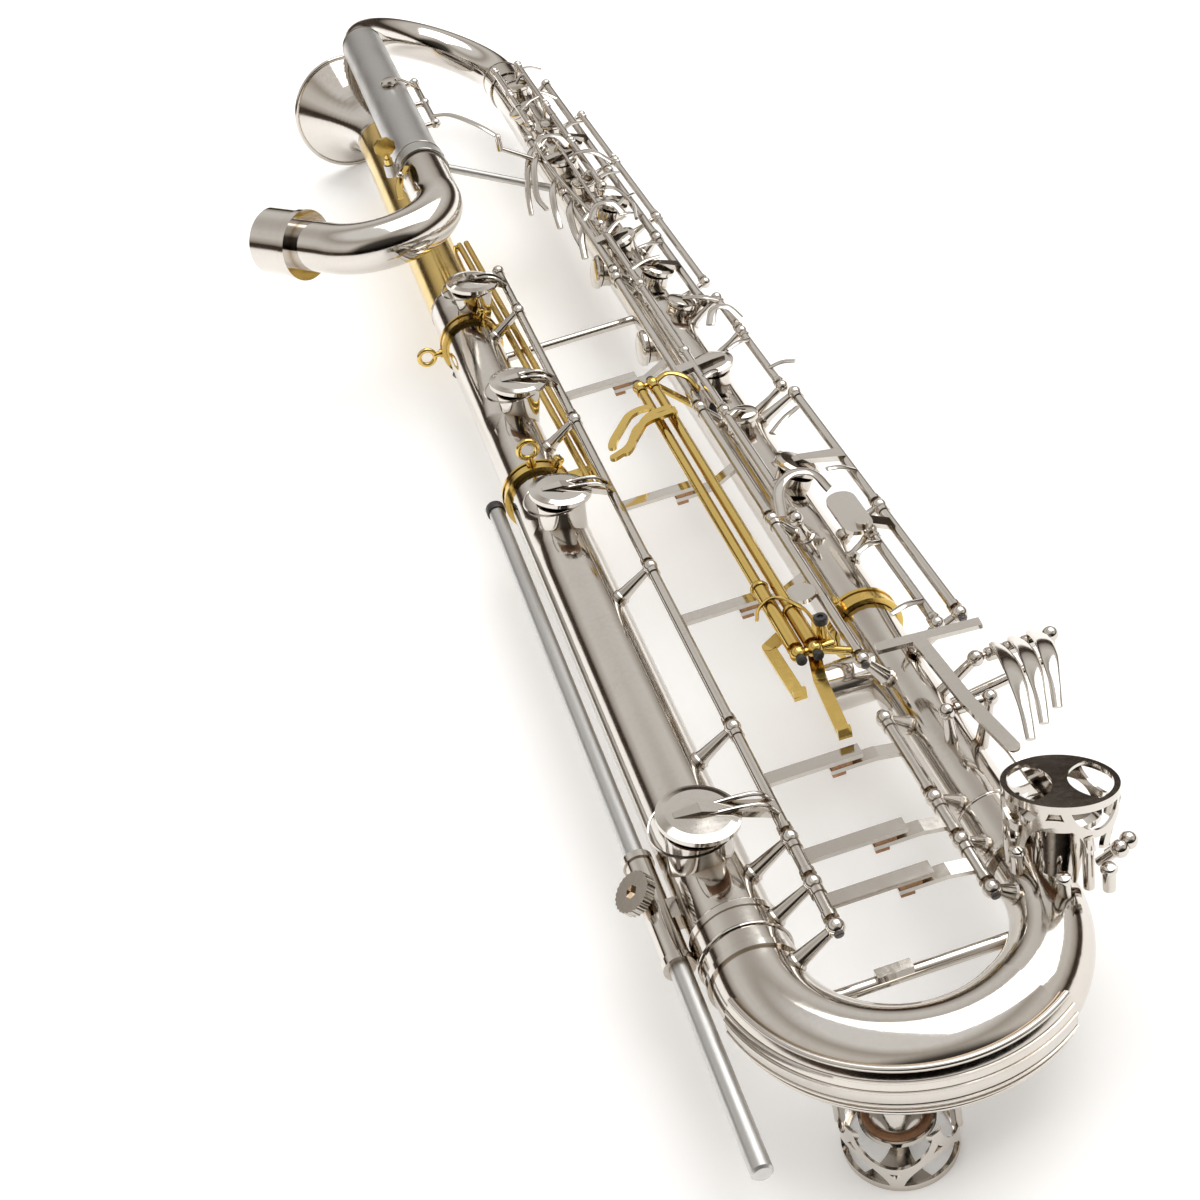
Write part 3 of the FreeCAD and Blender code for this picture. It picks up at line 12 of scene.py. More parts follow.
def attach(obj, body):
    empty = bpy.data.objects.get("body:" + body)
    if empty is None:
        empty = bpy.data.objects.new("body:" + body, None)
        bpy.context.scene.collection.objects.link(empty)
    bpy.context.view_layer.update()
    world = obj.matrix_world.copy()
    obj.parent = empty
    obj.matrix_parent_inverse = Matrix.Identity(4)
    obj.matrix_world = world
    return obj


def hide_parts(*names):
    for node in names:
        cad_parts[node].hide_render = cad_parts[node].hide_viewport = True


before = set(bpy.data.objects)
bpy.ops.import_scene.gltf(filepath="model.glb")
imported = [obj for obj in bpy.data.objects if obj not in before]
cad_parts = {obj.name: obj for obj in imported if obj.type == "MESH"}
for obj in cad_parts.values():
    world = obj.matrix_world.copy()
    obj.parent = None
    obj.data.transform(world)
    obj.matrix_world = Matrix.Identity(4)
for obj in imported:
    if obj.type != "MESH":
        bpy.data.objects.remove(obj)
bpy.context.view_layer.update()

log = logging.getLogger("contrabass_clarinet")

MM = 0.001
ORIGIN = Vector((29.15, -544.55, 51.8))
"""Millimetre offset from the middle of the bow joint to the frame's origin."""

LEFT_X = -63.4
RIGHT_X = 63.4
ROD_RADIUS = 1.6
X_AXIS = Vector((1, 0, 0))
Y_AXIS = Vector((0, 1, 0))
Z_AXIS = Vector((0, 0, 1))

POST_BALL = 3.9
"""Radius of the ball on top of a hinge post, in millimetres."""

MERGE_DISTANCE = 1e-6
"""Metres within which doubled points are joined."""

Mesh = bmesh.types.BMesh
Socket = bpy.types.NodeSocket
Triple = tuple[float, float, float]
RampStops = Sequence[tuple[float, Sequence[float]]]


def at(x: float, y: float, z: float) -> Vector:
    """Turn a place on the instrument into the scene's metres.

    Args:
        x: Millimetres from the middle between the long tubes.
        y: Millimetres from the bow joint towards the bell.
        z: Millimetres above the plane of the tube axes.

    Returns:
        The point in metres.
    """
    return (Vector((x, y, z)) + ORIGIN) * MM


def axis_turn(axis: Vector) -> Matrix:
    """Return the rotation that takes Z to a direction.

    Args:
        axis: The direction, of any length.

    Returns:
        The rotation.
    """
    return axis.normalized().to_track_quat("Z", "Y").to_matrix().to_4x4()


class Coat(Enum):
    """The finishes that a piece can have."""

    POLISHED = "polished_plate"
    SATIN = "satin_plate"
    LACQUER = "gold_lacquer"
    LEATHER = "pad_leather"
    CORK = "cork"
    RUBBER = "rubber"
    STEEL = "blued_steel"


"""Material slot of the record that each finish belongs to."""


def fill_ramp(node: bpy.types.Node, stops: RampStops) -> None:
    """Put places and colours into a colour ramp.

    Args:
        node: The ramp's node.
        stops: Places from 0 to 1 and their colours.
    """
    elements = node.color_ramp.elements
    while len(elements) < len(stops):
        elements.new(0.5)
    for element, (place, colour) in zip(elements, stops):
        element.position = place
        element.color = (*colour, 1.0)


class NodeSheet:
    """Short way to lay out the nodes of one material."""

    def __init__(self, name: str) -> None:
        """Start an empty material.

        Args:
            name: Name of the material.
        """
        self.material = bpy.data.materials.new(name)
        self.material.use_nodes = True
        self.tree = self.material.node_tree
        self.tree.nodes.clear()
        self.output = self.add("ShaderNodeOutputMaterial")
        self.shader = self.add("ShaderNodeBsdfPrincipled")
        self.link(self.shader.outputs[0], self.output.inputs["Surface"])
        self.coords = self.add("ShaderNodeTexCoord").outputs["Object"]

    def add(self, kind: str, **settings: object) -> bpy.types.Node:
        """Add a node and set its properties and inputs.

        Args:
            kind: Blender's name of the node type.
            settings: Properties by name; a capitalised name is an input's.

        Returns:
            The new node.
        """
        node = self.tree.nodes.new(kind)
        for key, value in settings.items():
            label = key.replace("_", " ")
            if label in node.inputs and not hasattr(node, key):
                node.inputs[label].default_value = value
            else:
                setattr(node, key, value)
        return node

    def link(self, source: Socket, target: Socket) -> None:
        """Connect two sockets.

        Args:
            source: The output that gives the value.
            target: The input that takes it.
        """
        self.tree.links.new(source, target)

    def stretched(self, scale: Sequence[float]) -> Socket:
        """Scale the object coordinates.

        Args:
            scale: Scale along each axis.

        Returns:
            The socket with the coordinates.
        """
        mapping = self.add("ShaderNodeMapping")
        mapping.inputs["Scale"].default_value = scale
        self.link(self.coords, mapping.inputs["Vector"])
        return mapping.outputs[0]

    def noise(self, scale: float, detail: float = 4.0, stretch: Triple = (1, 1, 1)) -> Socket:
        """Spread a noise over the piece.

        Args:
            scale: Repeats per metre.
            detail: Octaves of the noise.
            stretch: Scale of each axis before the noise.

        Returns:
            The socket with the value.
        """
        node = self.add("ShaderNodeTexNoise", Scale=scale, Detail=detail, Roughness=0.6)
        self.link(self.stretched(stretch), node.inputs["Vector"])
        return node.outputs["Fac"]

    def ramp(self, source: Socket, stops: RampStops) -> Socket:
        """Pick a colour along a ramp.

        Args:
            source: The value that picks the colour.
            stops: Places and colours along the ramp.

        Returns:
            The socket with the colour.
        """
        node = self.add("ShaderNodeValToRGB")
        fill_ramp(node, stops)
        self.link(source, node.inputs["Fac"])
        return node.outputs["Color"]

    def span(self, source: Socket, low: float, high: float, start: float = 0.3, end: float = 0.7) -> Socket:
        """Move a value from one span to another.

        Args:
            source: The value.
            low: Result at the span's start.
            high: Result at the span's end.
            start: Start of the source's span.
            end: End of the source's span.

        Returns:
            The socket with the value.
        """
        node = self.add("ShaderNodeMapRange")
        for name, value in (("From Min", start), ("From Max", end), ("To Min", low), ("To Max", high)):
            node.inputs[name].default_value = value
        self.link(source, node.inputs["Value"])
        return node.outputs[0]

    def mix(self, amount: Socket, first: Socket, second: Socket) -> Socket:
        """Mix two colours.

        Args:
            amount: Share of the second colour.
            first: The first colour.
            second: The second colour.

        Returns:
            The socket with the colour.
        """
        node = self.add("ShaderNodeMix", data_type="RGBA")
        self.link(amount, node.inputs[0])
        self.link(first, node.inputs[6])
        self.link(second, node.inputs[7])
        return node.outputs[2]

    def multiply(self, first: Socket, second: Socket) -> Socket:
        """Multiply two values.

        Args:
            first: One value.
            second: The other value.

        Returns:
            The socket with the product.
        """
        node = self.add("ShaderNodeMath", operation="MULTIPLY")
        self.link(first, node.inputs[0])
        self.link(second, node.inputs[1])
        return node.outputs[0]

    def bump(self, height: Socket, strength: float, depth: float, below: Optional[Socket] = None) -> Socket:
        """Raise the surface normal by a height.

        Args:
            height: The height value.
            strength: How much of the bump shows.
            depth: Height of the bump in metres.
            below: A bump that this one lies on.

        Returns:
            The socket with the normal.
        """
        node = self.add("ShaderNodeBump", Strength=strength, Distance=depth)
        self.link(height, node.inputs["Height"])
        if below is not None:
            self.link(below, node.inputs["Normal"])
        return node.outputs[0]


@dataclass(frozen=True)
class PlatedMetal:
    """Plated or lacquered metal with tarnish, wear patches, fine scratches and painted shade darkening its
    crevices.
    """

    coat: Coat
    clean: Triple
    tarnish: Triple
    tarnish_cover: float
    gloss_best: float
    gloss_worst: float
    mottle_scale: float = 28.0
    scratch_depth: float = 0.00002
    ripple: float = 0.0
    # Reach, tint and share of the painted shade that darkens and warms the colour in crevices.
    painted_shade_reach: float = 0.006
    painted_shade_tint: Triple = (0.62, 0.52, 0.4)
    painted_shade_share: float = 0.85
    shade_share: float = 0.88

    def build(self) -> bpy.types.Material:
        """Return the finished material."""
        sheet = NodeSheet(self.coat.value)
        mottle = sheet.noise(self.mottle_scale, 6.0)
        cloud = sheet.noise(self.mottle_scale * 0.32, 3.0, (1.0, 0.35, 1.0))
        speck = sheet.noise(self.mottle_scale * 14, 3.0)
        low = 0.72 - self.tarnish_cover
        stained = sheet.ramp(cloud, [(low, self.clean), (min(low + 0.3, 1.0), self.tarnish)])
        dull = tuple(part * self.shade_share for part in self.clean)
        shade = sheet.ramp(mottle, [(0.3, self.clean), (0.75, dull)])
        amount = sheet.span(speck, 0.25, 0.75, 0.35, 0.65)
        colour = sheet.mix(amount, stained, shade)
        # Painted shade: ambient occlusion darkens and warms the base colour in crevices and between parts,
        # where shade falls.
        crevice_occlusion = sheet.add("ShaderNodeAmbientOcclusion", samples=4, Distance=self.painted_shade_reach)
        painted_crevice_shade = sheet.ramp(crevice_occlusion.outputs["AO"], [(0.35, self.painted_shade_tint), (0.85, (1, 1, 1))])
        with_painted_shade = sheet.add("ShaderNodeMix", data_type="RGBA", blend_type="MULTIPLY")
        with_painted_shade.inputs[0].default_value = self.painted_shade_share
        sheet.link(colour, with_painted_shade.inputs[6])
        sheet.link(painted_crevice_shade, with_painted_shade.inputs[7])
        sheet.link(with_painted_shade.outputs[2], sheet.shader.inputs["Base Color"])
        sheet.shader.inputs["Metallic"].default_value = 1.0
        wear = sheet.multiply(sheet.span(mottle, 0.55, 1.0), sheet.span(speck, 0.6, 1.0))
        rough = sheet.span(wear, self.gloss_best, self.gloss_worst, 0.35, 0.95)
        sheet.link(rough, sheet.shader.inputs["Roughness"])
        scratches = sheet.noise(900.0, 2.0, (1.0, 0.06, 1.0))
        below = sheet.bump(scratches, 0.35, self.scratch_depth)
        if self.ripple > 0:
            below = sheet.bump(sheet.noise(55.0, 2.0), self.ripple, 0.0004, below)
        sheet.link(below, sheet.shader.inputs["Normal"])
        return sheet.material


@dataclass(frozen=True)
class GrainedSoft:
    """Leather, cork or rubber: a grain of two colours with a matching bump."""

    coat: Coat
    light: Triple
    dark: Triple
    grain_scale: float
    roughness: float
    depth: float

    def build(self) -> bpy.types.Material:
        """Return the finished material."""
        sheet = NodeSheet(self.coat.value)
        cells = sheet.add("ShaderNodeTexVoronoi", Scale=self.grain_scale)
        sheet.link(sheet.coords, cells.inputs["Vector"])
        cloud = sheet.noise(self.grain_scale * 0.2, 5.0)
        fleck = sheet.ramp(cells.outputs["Distance"], [(0.12, self.dark), (0.5, self.light)])
        base = sheet.ramp(cloud, [(0.35, self.dark), (0.62, self.light)])
        colour = sheet.mix(sheet.span(cloud, 0.3, 0.7), fleck, base)
        sheet.link(colour, sheet.shader.inputs["Base Color"])
        sheet.shader.inputs["Roughness"].default_value = self.roughness
        height = sheet.multiply(cells.outputs["Distance"], sheet.span(cloud, 0.5, 1.0))
        sheet.link(sheet.bump(height, 0.8, self.depth), sheet.shader.inputs["Normal"])
        return sheet.material


FINISHES = (
    PlatedMetal(Coat.POLISHED, (0.70, 0.665, 0.62), (0.50, 0.41, 0.31), 0.16, 0.05, 0.15, ripple=0.14),
    PlatedMetal(Coat.SATIN, (0.62, 0.615, 0.605), (0.50, 0.48, 0.45), 0.10, 0.30, 0.46),
    PlatedMetal(Coat.LACQUER, (0.78, 0.56, 0.17), (0.50, 0.31, 0.09), 0.12, 0.10, 0.24, ripple=0.08),
    PlatedMetal(Coat.STEEL, (0.20, 0.19, 0.19), (0.10, 0.08, 0.07), 0.2, 0.22, 0.4),
    GrainedSoft(Coat.LEATHER, (0.36, 0.19, 0.10), (0.20, 0.10, 0.05), 900.0, 0.55, 0.0002),
    GrainedSoft(Coat.CORK, (0.66, 0.38, 0.20), (0.36, 0.17, 0.08), 700.0, 0.85, 0.0003),
    GrainedSoft(Coat.RUBBER, (0.03, 0.028, 0.027), (0.015, 0.014, 0.014), 1200.0, 0.45, 0.0001),
)


class Bench:
    """Makes pieces with mesh operators, gives them a finish and hangs them on a body."""

    def __init__(self) -> None:
        """Mix every finish once."""
        self.coats = {finish.coat: finish.build() for finish in FINISHES}
        self.count = 0

    def dress_node(self, node: str, coat: Coat) -> None:
        """Give a node its finish.

        Args:
            node: Name of the node.
            coat: Its finish.
        """
        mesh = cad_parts[node].data
        mesh.materials.clear()
        mesh.materials.append(self.coats[coat])

    def keep(
            self, bm: Mesh, name: str, coat: Coat, body: str,
            merge: bool = True, sharp: float = 35.0) -> bpy.types.Object:
        """Turn a bmesh into a finished piece.

        Args:
            bm: The mesh, already in scene metres.
            name: Name of the piece.
            coat: Its finish.
            body: The body that it moves with.
            merge: Whether doubled points are joined first.
            sharp: Angle in degrees past which an edge stays sharp.

        Returns:
            The new object.
        """
        if merge:
            bmesh.ops.remove_doubles(bm, verts=bm.verts, dist=MERGE_DISTANCE)
        bmesh.ops.recalc_face_normals(bm, faces=bm.faces)
        for face in bm.faces:
            face.smooth = True
        limit = math.radians(sharp)
        for edge in bm.edges:
            edge.smooth = len(edge.link_faces) == 2 and edge.calc_face_angle(0.0) < limit
        mesh = bpy.data.meshes.new(name)
        bm.to_mesh(mesh)
        bm.free()
        mesh.materials.append(self.coats[coat])
        piece = bpy.data.objects.new(name, mesh)
        bpy.context.scene.collection.objects.link(piece)
        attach(piece, body)
        self.count += 1
        log.info("%s on %s, %d faces", name, body, len(mesh.polygons))
        return piece

    def turn(
            self, bm: Mesh, origin: Vector, axis: Vector,
            profile: Sequence[tuple[float, float]], steps: int = 32) -> None:
        """Add a turned shape to a bmesh.

        Args:
            bm: Where the shape goes.
            origin: Start of the axis, in metres.
            axis: Direction of the axis.
            profile: Pairs of distance along the axis and radius, in millimetres.
            steps: Sides of the turned shape.
        """
        place = Matrix.Translation(origin) @ axis_turn(axis)
        verts = [bm.verts.new(place @ (Vector((radius, 0, along)) * MM)) for along, radius in profile]
        edges = [bm.edges.new(pair) for pair in zip(verts, verts[1:])]
        bmesh.ops.spin(
            bm, geom=verts + edges, cent=origin, axis=axis.normalized(),
            angle=2 * math.pi, steps=steps, use_merge=True)
        bmesh.ops.remove_doubles(bm, verts=bm.verts, dist=MERGE_DISTANCE)

    def bar(
            self, bm: Mesh, start: Vector, end: Vector, width: float, thickness: float,
            rounding: float = 0.5, up: Vector = Z_AXIS) -> None:
        """Add a flat bar with rounded edges to a bmesh.

        Args:
            bm: Where the bar goes.
            start: One end, in metres.
            end: The other end, in metres.
            width: Width in millimetres, square to the bar and to up.
            thickness: Thickness in millimetres.
            rounding: Radius of its edges in millimetres.
            up: Direction that the thickness follows.
        """
        along = end - start
        side = up.cross(along).normalized()
        top = along.cross(side).normalized()
        turn = Matrix((along.normalized(), side, top)).transposed().to_4x4()
        size = Matrix.Diagonal((along.length, width * MM, thickness * MM, 1.0))
        place = Matrix.Translation((start + end) / 2) @ turn @ size
        made = bmesh.ops.create_cube(bm, size=1.0, matrix=place)
        edges = list({edge for vert in made["verts"] for edge in vert.link_edges})
        bmesh.ops.bevel(
            bm, geom=edges, offset=rounding * MM, offset_type="OFFSET", segments=2,
            profile=0.5, affect="EDGES", material=-1, clamp_overlap=True)

    def ball(self, bm: Mesh, centre: Vector, radius: float, sides: int = 16) -> None:
        """Add a ball to a bmesh.

        Args:
            bm: Where the ball goes.
            centre: Its middle, in metres.
            radius: Its radius in millimetres.
            sides: Sides round it.
        """
        bmesh.ops.create_uvsphere(
            bm, u_segments=sides, v_segments=sides // 2 + 2, radius=radius * MM,
            matrix=Matrix.Translation(centre))

    def rod(self, bm: Mesh, start: Vector, end: Vector, radius: float, sides: int = 14) -> None:
        """Add a round rod with eased ends to a bmesh.

        Args:
            bm: Where the rod goes.
            start: One end, in metres.
            end: The other end, in metres.
            radius: Its radius in millimetres.
            sides: Sides round it.
        """
        length = (end - start).length / MM
        ease = min(0.35 * radius, length / 4)
        self.turn(bm, start, end - start, [
            (0, 0), (0, radius - ease), (ease, radius), (length - ease, radius),
            (length, radius - ease), (length, 0)], sides)


@dataclass(frozen=True)
class Ribbon:
    """A curved lever or wire: a smooth path with a width and a thickness along it."""

    points: tuple[Triple, ...]
    widths: tuple[float, ...]
    thickness: float
    up: Triple = (0.0, 0.0, 1.0)
    steps: int = 5
    sides: int = 12

    def path(self) -> list[tuple[Vector, float]]:
        """Smooth the path.

        Returns:
            Places in millimetres and the width at each.
        """
        places = [Vector(point) for point in self.points]
        ends = [places[0] * 2 - places[1]] + places + [places[-1] * 2 - places[-2]]
        result = []
        for i in range(len(places) - 1):
            a, b, c, d = ends[i:i + 4]
            for step in range(self.steps):
                t = step / self.steps
                curve = (b * 2 + (c - a) * t + (a * 2 - b * 5 + c * 4 - d) * t ** 2
                         + (b * 3 - a - c * 3 + d) * t ** 3) / 2
                width = self.widths[i] + (self.widths[i + 1] - self.widths[i]) * t
                result.append((curve, width))
        result.append((places[-1], self.widths[-1]))
        return result

    def add_to(self, bm: Mesh) -> None:
        """Loft rounded sections along the path.

        Args:
            bm: Where the lever or wire goes.
        """
        path = self.path()
        rings = []
        for i, (place, width) in enumerate(path):
            ahead = path[min(i + 1, len(path) - 1)][0] - path[max(i - 1, 0)][0]
            along = ahead.normalized()
            side = Vector(self.up).cross(along).normalized()
            top = along.cross(side)
            turn = Matrix((side, top, along)).transposed().to_4x4()
            size = Matrix.Diagonal((width / 2 * MM, self.thickness / 2 * MM, 1.0, 1.0))
            ring = bmesh.ops.create_circle(
                bm, cap_ends=i in (0, len(path) - 1), radius=1.0, segments=self.sides,
                matrix=Matrix.Translation(at(*place)) @ turn @ size)
            rings.append(ring["verts"])
        for first, second in zip(rings, rings[1:]):
            pair = set(first) | set(second)
            edges = {edge for vert in pair for edge in vert.link_edges}
            inside = set(first)
            loops = [edge for edge in edges
                     if (edge.verts[0] in inside) == (edge.verts[1] in inside)
                     and edge.verts[0] in pair and edge.verts[1] in pair]
            bmesh.ops.bridge_loops(bm, edges=loops)


@dataclass
class HingeLine:
    """A hinge line along a tube: rod, key tubes and ball posts."""

    name: str
    x: float
    z: float
    tube_x: float
    posts: tuple[float, ...]
    hubs: tuple[tuple[float, float], ...] = ()
    surface: float = 17.2
    hub_radius: float = 2.7
    ball: float = POST_BALL

    def place(self, y: float) -> Vector:
        """Find a point of the rod.

        Args:
            y: Millimetres along the tube.

        Returns:
            The point in metres.
        """
        return at(self.x, y, self.z)

    def build(self, bench: Bench) -> None:
        """Make the rod with its posts and key tubes.

        Args:
            bench: Where the pieces are made.
        """
        bm = bmesh.new()
        bench.rod(bm, self.place(min(self.posts)), self.place(max(self.posts)), ROD_RADIUS)
        for start, end in self.hubs:
            bench.rod(bm, self.place(start), self.place(end), self.hub_radius)
            for y in (start, end - 3):
                bench.rod(bm, self.place(y), self.place(y + 3), self.hub_radius + 0.7)
        for y in self.posts:
            self.add_post(bench, bm, y)
        bench.keep(bm, self.name, Coat.POLISHED, "clarinet_body")

    def add_post(self, bench: Bench, bm: Mesh, y: float) -> None:
        """Add a tapered ball post that stands on the tube.

        Args:
            bench: Where the piece is made.
            bm: Mesh of the line.
            y: Millimetres along the tube.
        """
        ball = self.place(y)
        root = at(self.tube_x, y, 0)
        way = (ball - root).normalized()
        foot = root + way * (self.surface - 0.6) * MM
        reach = (ball - foot).length / MM
        bench.turn(bm, foot, way, [
            (0, 0), (0, 5.0), (1.2, 5.0), (1.8, 3.6), (3.2, 3.0), (reach * 0.6, 2.0),
            (reach - self.ball, 2.3), (reach, 0)], 16)
        bench.ball(bm, ball, self.ball)


LEFT_CUPS = (
    ("left_key_1", 640.0, 9.0, 18.0), ("left_key_2", 486.0, 8.0, 18.0),
    ("left_key_3", 350.0, 3.0, 18.0), ("left_key_4", 66.0, -3.0, 19.2))
LEFT_SEAT = 30.5
LEFT_LINE = (-28.0, 25.0)


@dataclass
class LeftCups:
    """Trim of the four big cups on the left tube: beads and twin ribs."""

    cups: tuple[tuple[str, float, float, float], ...] = LEFT_CUPS
    crown: float = 5.9
    rib_gap: float = 2.6
    rib_radius: float = 1.15

    def build(self, bench: Bench) -> None:
        """Dress every cup.

        Args:
            bench: Where the pieces are made.
        """
        for name, y, offset, radius in self.cups:
            self.dress(bench, name, y, offset, radius)

    def dress(self, bench: Bench, name: str, y: float, offset: float, radius: float) -> None:
        """Add the bead round a cup and the two ribs over it.

        Args:
            bench: Where the piece is made.
            name: Node and body of the cup.
            y: Millimetres along the tube.
            offset: Millimetres from the tube's axis.
            radius: Radius of the cup in millimetres.
        """
        top = LEFT_SEAT + self.crown
        bm = bmesh.new()
        centre = at(LEFT_X + offset, y, LEFT_SEAT + 2.0)
        bench.turn(bm, centre, Z_AXIS, [
            (0, radius - 0.2), (-0.5, radius + 0.3), (0.2, radius + 0.75), (1.0, radius + 0.3),
            (0.8, radius - 0.3)], 56)
        for side in (-1, 1):
            Ribbon(
                ((LEFT_LINE[0] + 0.5, y + side * 4.2, LEFT_LINE[1] + 2.5),
                 (LEFT_LINE[0] - 8.0, y + side * 3.8, top - 0.6),
                 (LEFT_X + offset + 4, y + side * self.rib_gap, top + 1.9),
                 (LEFT_X + offset - radius * 0.72, y + side * 0.8, top - 0.2)),
                (2.6, 2.6, 2.2, 1.2), self.rib_radius * 2, steps=6, sides=10).add_to(bm)
        bench.keep(bm, f"{name}_ribs", Coat.POLISHED, name, merge=False)


@dataclass
class Corks:
    """Cork pads above and below the tips of the lift arms."""

    arms: tuple[tuple[str, float], ...] = (
        ("main_key_1", 468.0), ("lift_arm_1", 332.0), ("lift_arm_2", 216.0),
        ("lift_arm_3", 86.0), ("lift_arm_4", 34.0), ("lift_arm_5", 6.0))
    tip: float = 4.6
    length: float = 10.0
    width: float = 7.2
    low: float = 21.4
    high: float = 23.7
    under: float = 19.0
    lower_length: float = 6.5
    lower_height: float = 2.6
    lower_inset: float = 0.6

    def build(self, bench: Bench) -> None:
        """Glue the corks to the end of every lift arm.

        Args:
            bench: Where the pieces are made.
        """
        for body, y in self.arms:
            bm = bmesh.new()
            middle = (self.low + self.high) / 2
            bench.bar(
                bm, at(self.tip, y, middle), at(self.tip + self.length, y, middle),
                self.width, self.high - self.low, 0.25)
            height = self.under - self.lower_height / 2
            bench.bar(
                bm, at(self.tip, y, height), at(self.tip + self.lower_length, y, height),
                self.width - self.lower_inset, self.lower_height, 0.3)
            bench.keep(bm, f"{body}_cork", Coat.CORK, body)


@dataclass
class BrassTrim:
    """Caps, arc wire and post of the brass linkage."""

    rods: tuple[float, ...] = (14.0, 22.5)
    height: float = 38.0
    low_ball: float = 148.0
    high_ball: float = 430.0

    def build(self, bench: Bench) -> None:
        """Make the dark caps, the arc wire and the stop post.

        Args:
            bench: Where the pieces are made.
        """
        caps = bmesh.new()
        for x in self.rods:
            for y, way in ((self.low_ball - 3.6, -1), (self.high_ball + 3.4, 1)):
                start = at(x, y, self.height)
                bench.turn(caps, start, Y_AXIS * way, [
                    (0, 0), (0, 2.5), (2.2, 2.7), (3.0, 2.2), (2.6, 1.2), (2.2, 0)], 20)
        bench.turn(caps, at(28.5, 152, 50), Z_AXIS, [
            (-1.0, 0), (-1.0, 3.2), (2.2, 3.6), (3.0, 3.1), (3.0, 1.6), (2.0, 1.4), (2.0, 0)], 24)
        bench.turn(caps, at(49, 437, 24), Vector((-0.4, -0.6, -0.5)), [
            (0, 0), (0, 3.6), (7, 4.0), (9, 3.2), (9, 0)], 20)
        bench.keep(caps, "linkage_caps", Coat.RUBBER, "clarinet_body")
        brass = bmesh.new()
        Ribbon(
            ((4.5, 182, 37.5), (8, 187, 41), (17, 188, 43.5), (26, 176, 43),
             (28.5, 163, 41.5), (28.5, 152, 40)),
            (1.9,) * 6, 1.9, sides=8).add_to(brass)
        bench.rod(brass, at(28.5, 152, 37), at(28.5, 152, 50), 2.6)
        bench.ball(brass, at(28.5, 152, 37), 3.6)
        bench.rod(brass, at(22.5, 148, 38), at(40, 148, 30), 2.2)
        Ribbon(
            ((22.5, 430, 38), (33, 432, 41), (43, 428, 37), (49, 424, 28)),
            (4.5, 4.5, 4.2, 4.0), 2.2).add_to(brass)
        for x, y in ((14.0, 205.0), (22.5, 180.0)):
            bench.turn(brass, at(x, y - 1, self.height), Y_AXIS, [
                (0, 4.0), (0, 4.7), (1.6, 5.0), (3.0, 4.4), (3.0, 3.2)], 20)
        bench.keep(brass, "linkage_wire", Coat.LACQUER, "clarinet_body", merge=False)


@dataclass
class TubeCup:
    """A small cup of the main tube, with chimney, pad and arm."""

    name: str
    y: float
    tilt: float
    radius: float = 11.5
    seat: float = 24.0
    arm_to: Optional[Triple] = None
    chimney_foot: float = 12.0

    def build(self, bench: Bench) -> None:
        """Make chimney, pad, cup and arm.

        Args:
            bench: Where the pieces are made.
        """
        lean = math.radians(self.tilt)
        way = Vector((math.sin(lean), 0, math.cos(lean)))
        axis = at(RIGHT_X, self.y, 0)
        seat = axis + way * self.seat * MM
        metal = bmesh.new()
        foot = axis + way * self.chimney_foot * MM
        rise = self.seat - self.chimney_foot
        bench.turn(metal, foot, way, [
            (0, self.radius - 1.5), (rise - 5, self.radius - 2.4), (rise - 1, self.radius - 1.6),
            (rise - 0.2, self.radius - 1.5), (rise - 0.2, self.radius - 2.6), (0, self.radius - 3.4)], 36)
        bench.turn(metal, seat, way, [
            (1.6, self.radius - 1.0), (1.2, self.radius), (3.4, self.radius), (4.6, self.radius * 0.92),
            (5.4, self.radius * 0.7), (5.9, 0)], 40)
        if self.arm_to is not None:
            crown = (seat + way * 6.2 * MM) / MM - ORIGIN
            Ribbon(
                (self.arm_to, tuple((Vector(self.arm_to) + crown) / 2 + Vector((0, 0, 1.5))),
                 tuple(crown + Vector((0, -1.5, 0.3)))),
                (5.2, 4.6, 3.0), 2.2).add_to(metal)
        bench.keep(metal, self.name, Coat.POLISHED, "clarinet_body", merge=False)
        pad = bmesh.new()
        bench.turn(pad, seat, way, [
            (0, 0), (0, self.radius - 2.0), (0.8, self.radius - 1.1),
            (2.6, self.radius - 0.9), (3.0, 0)], 36)
        bench.keep(pad, f"{self.name}_pad", Coat.LEATHER, "clarinet_body")


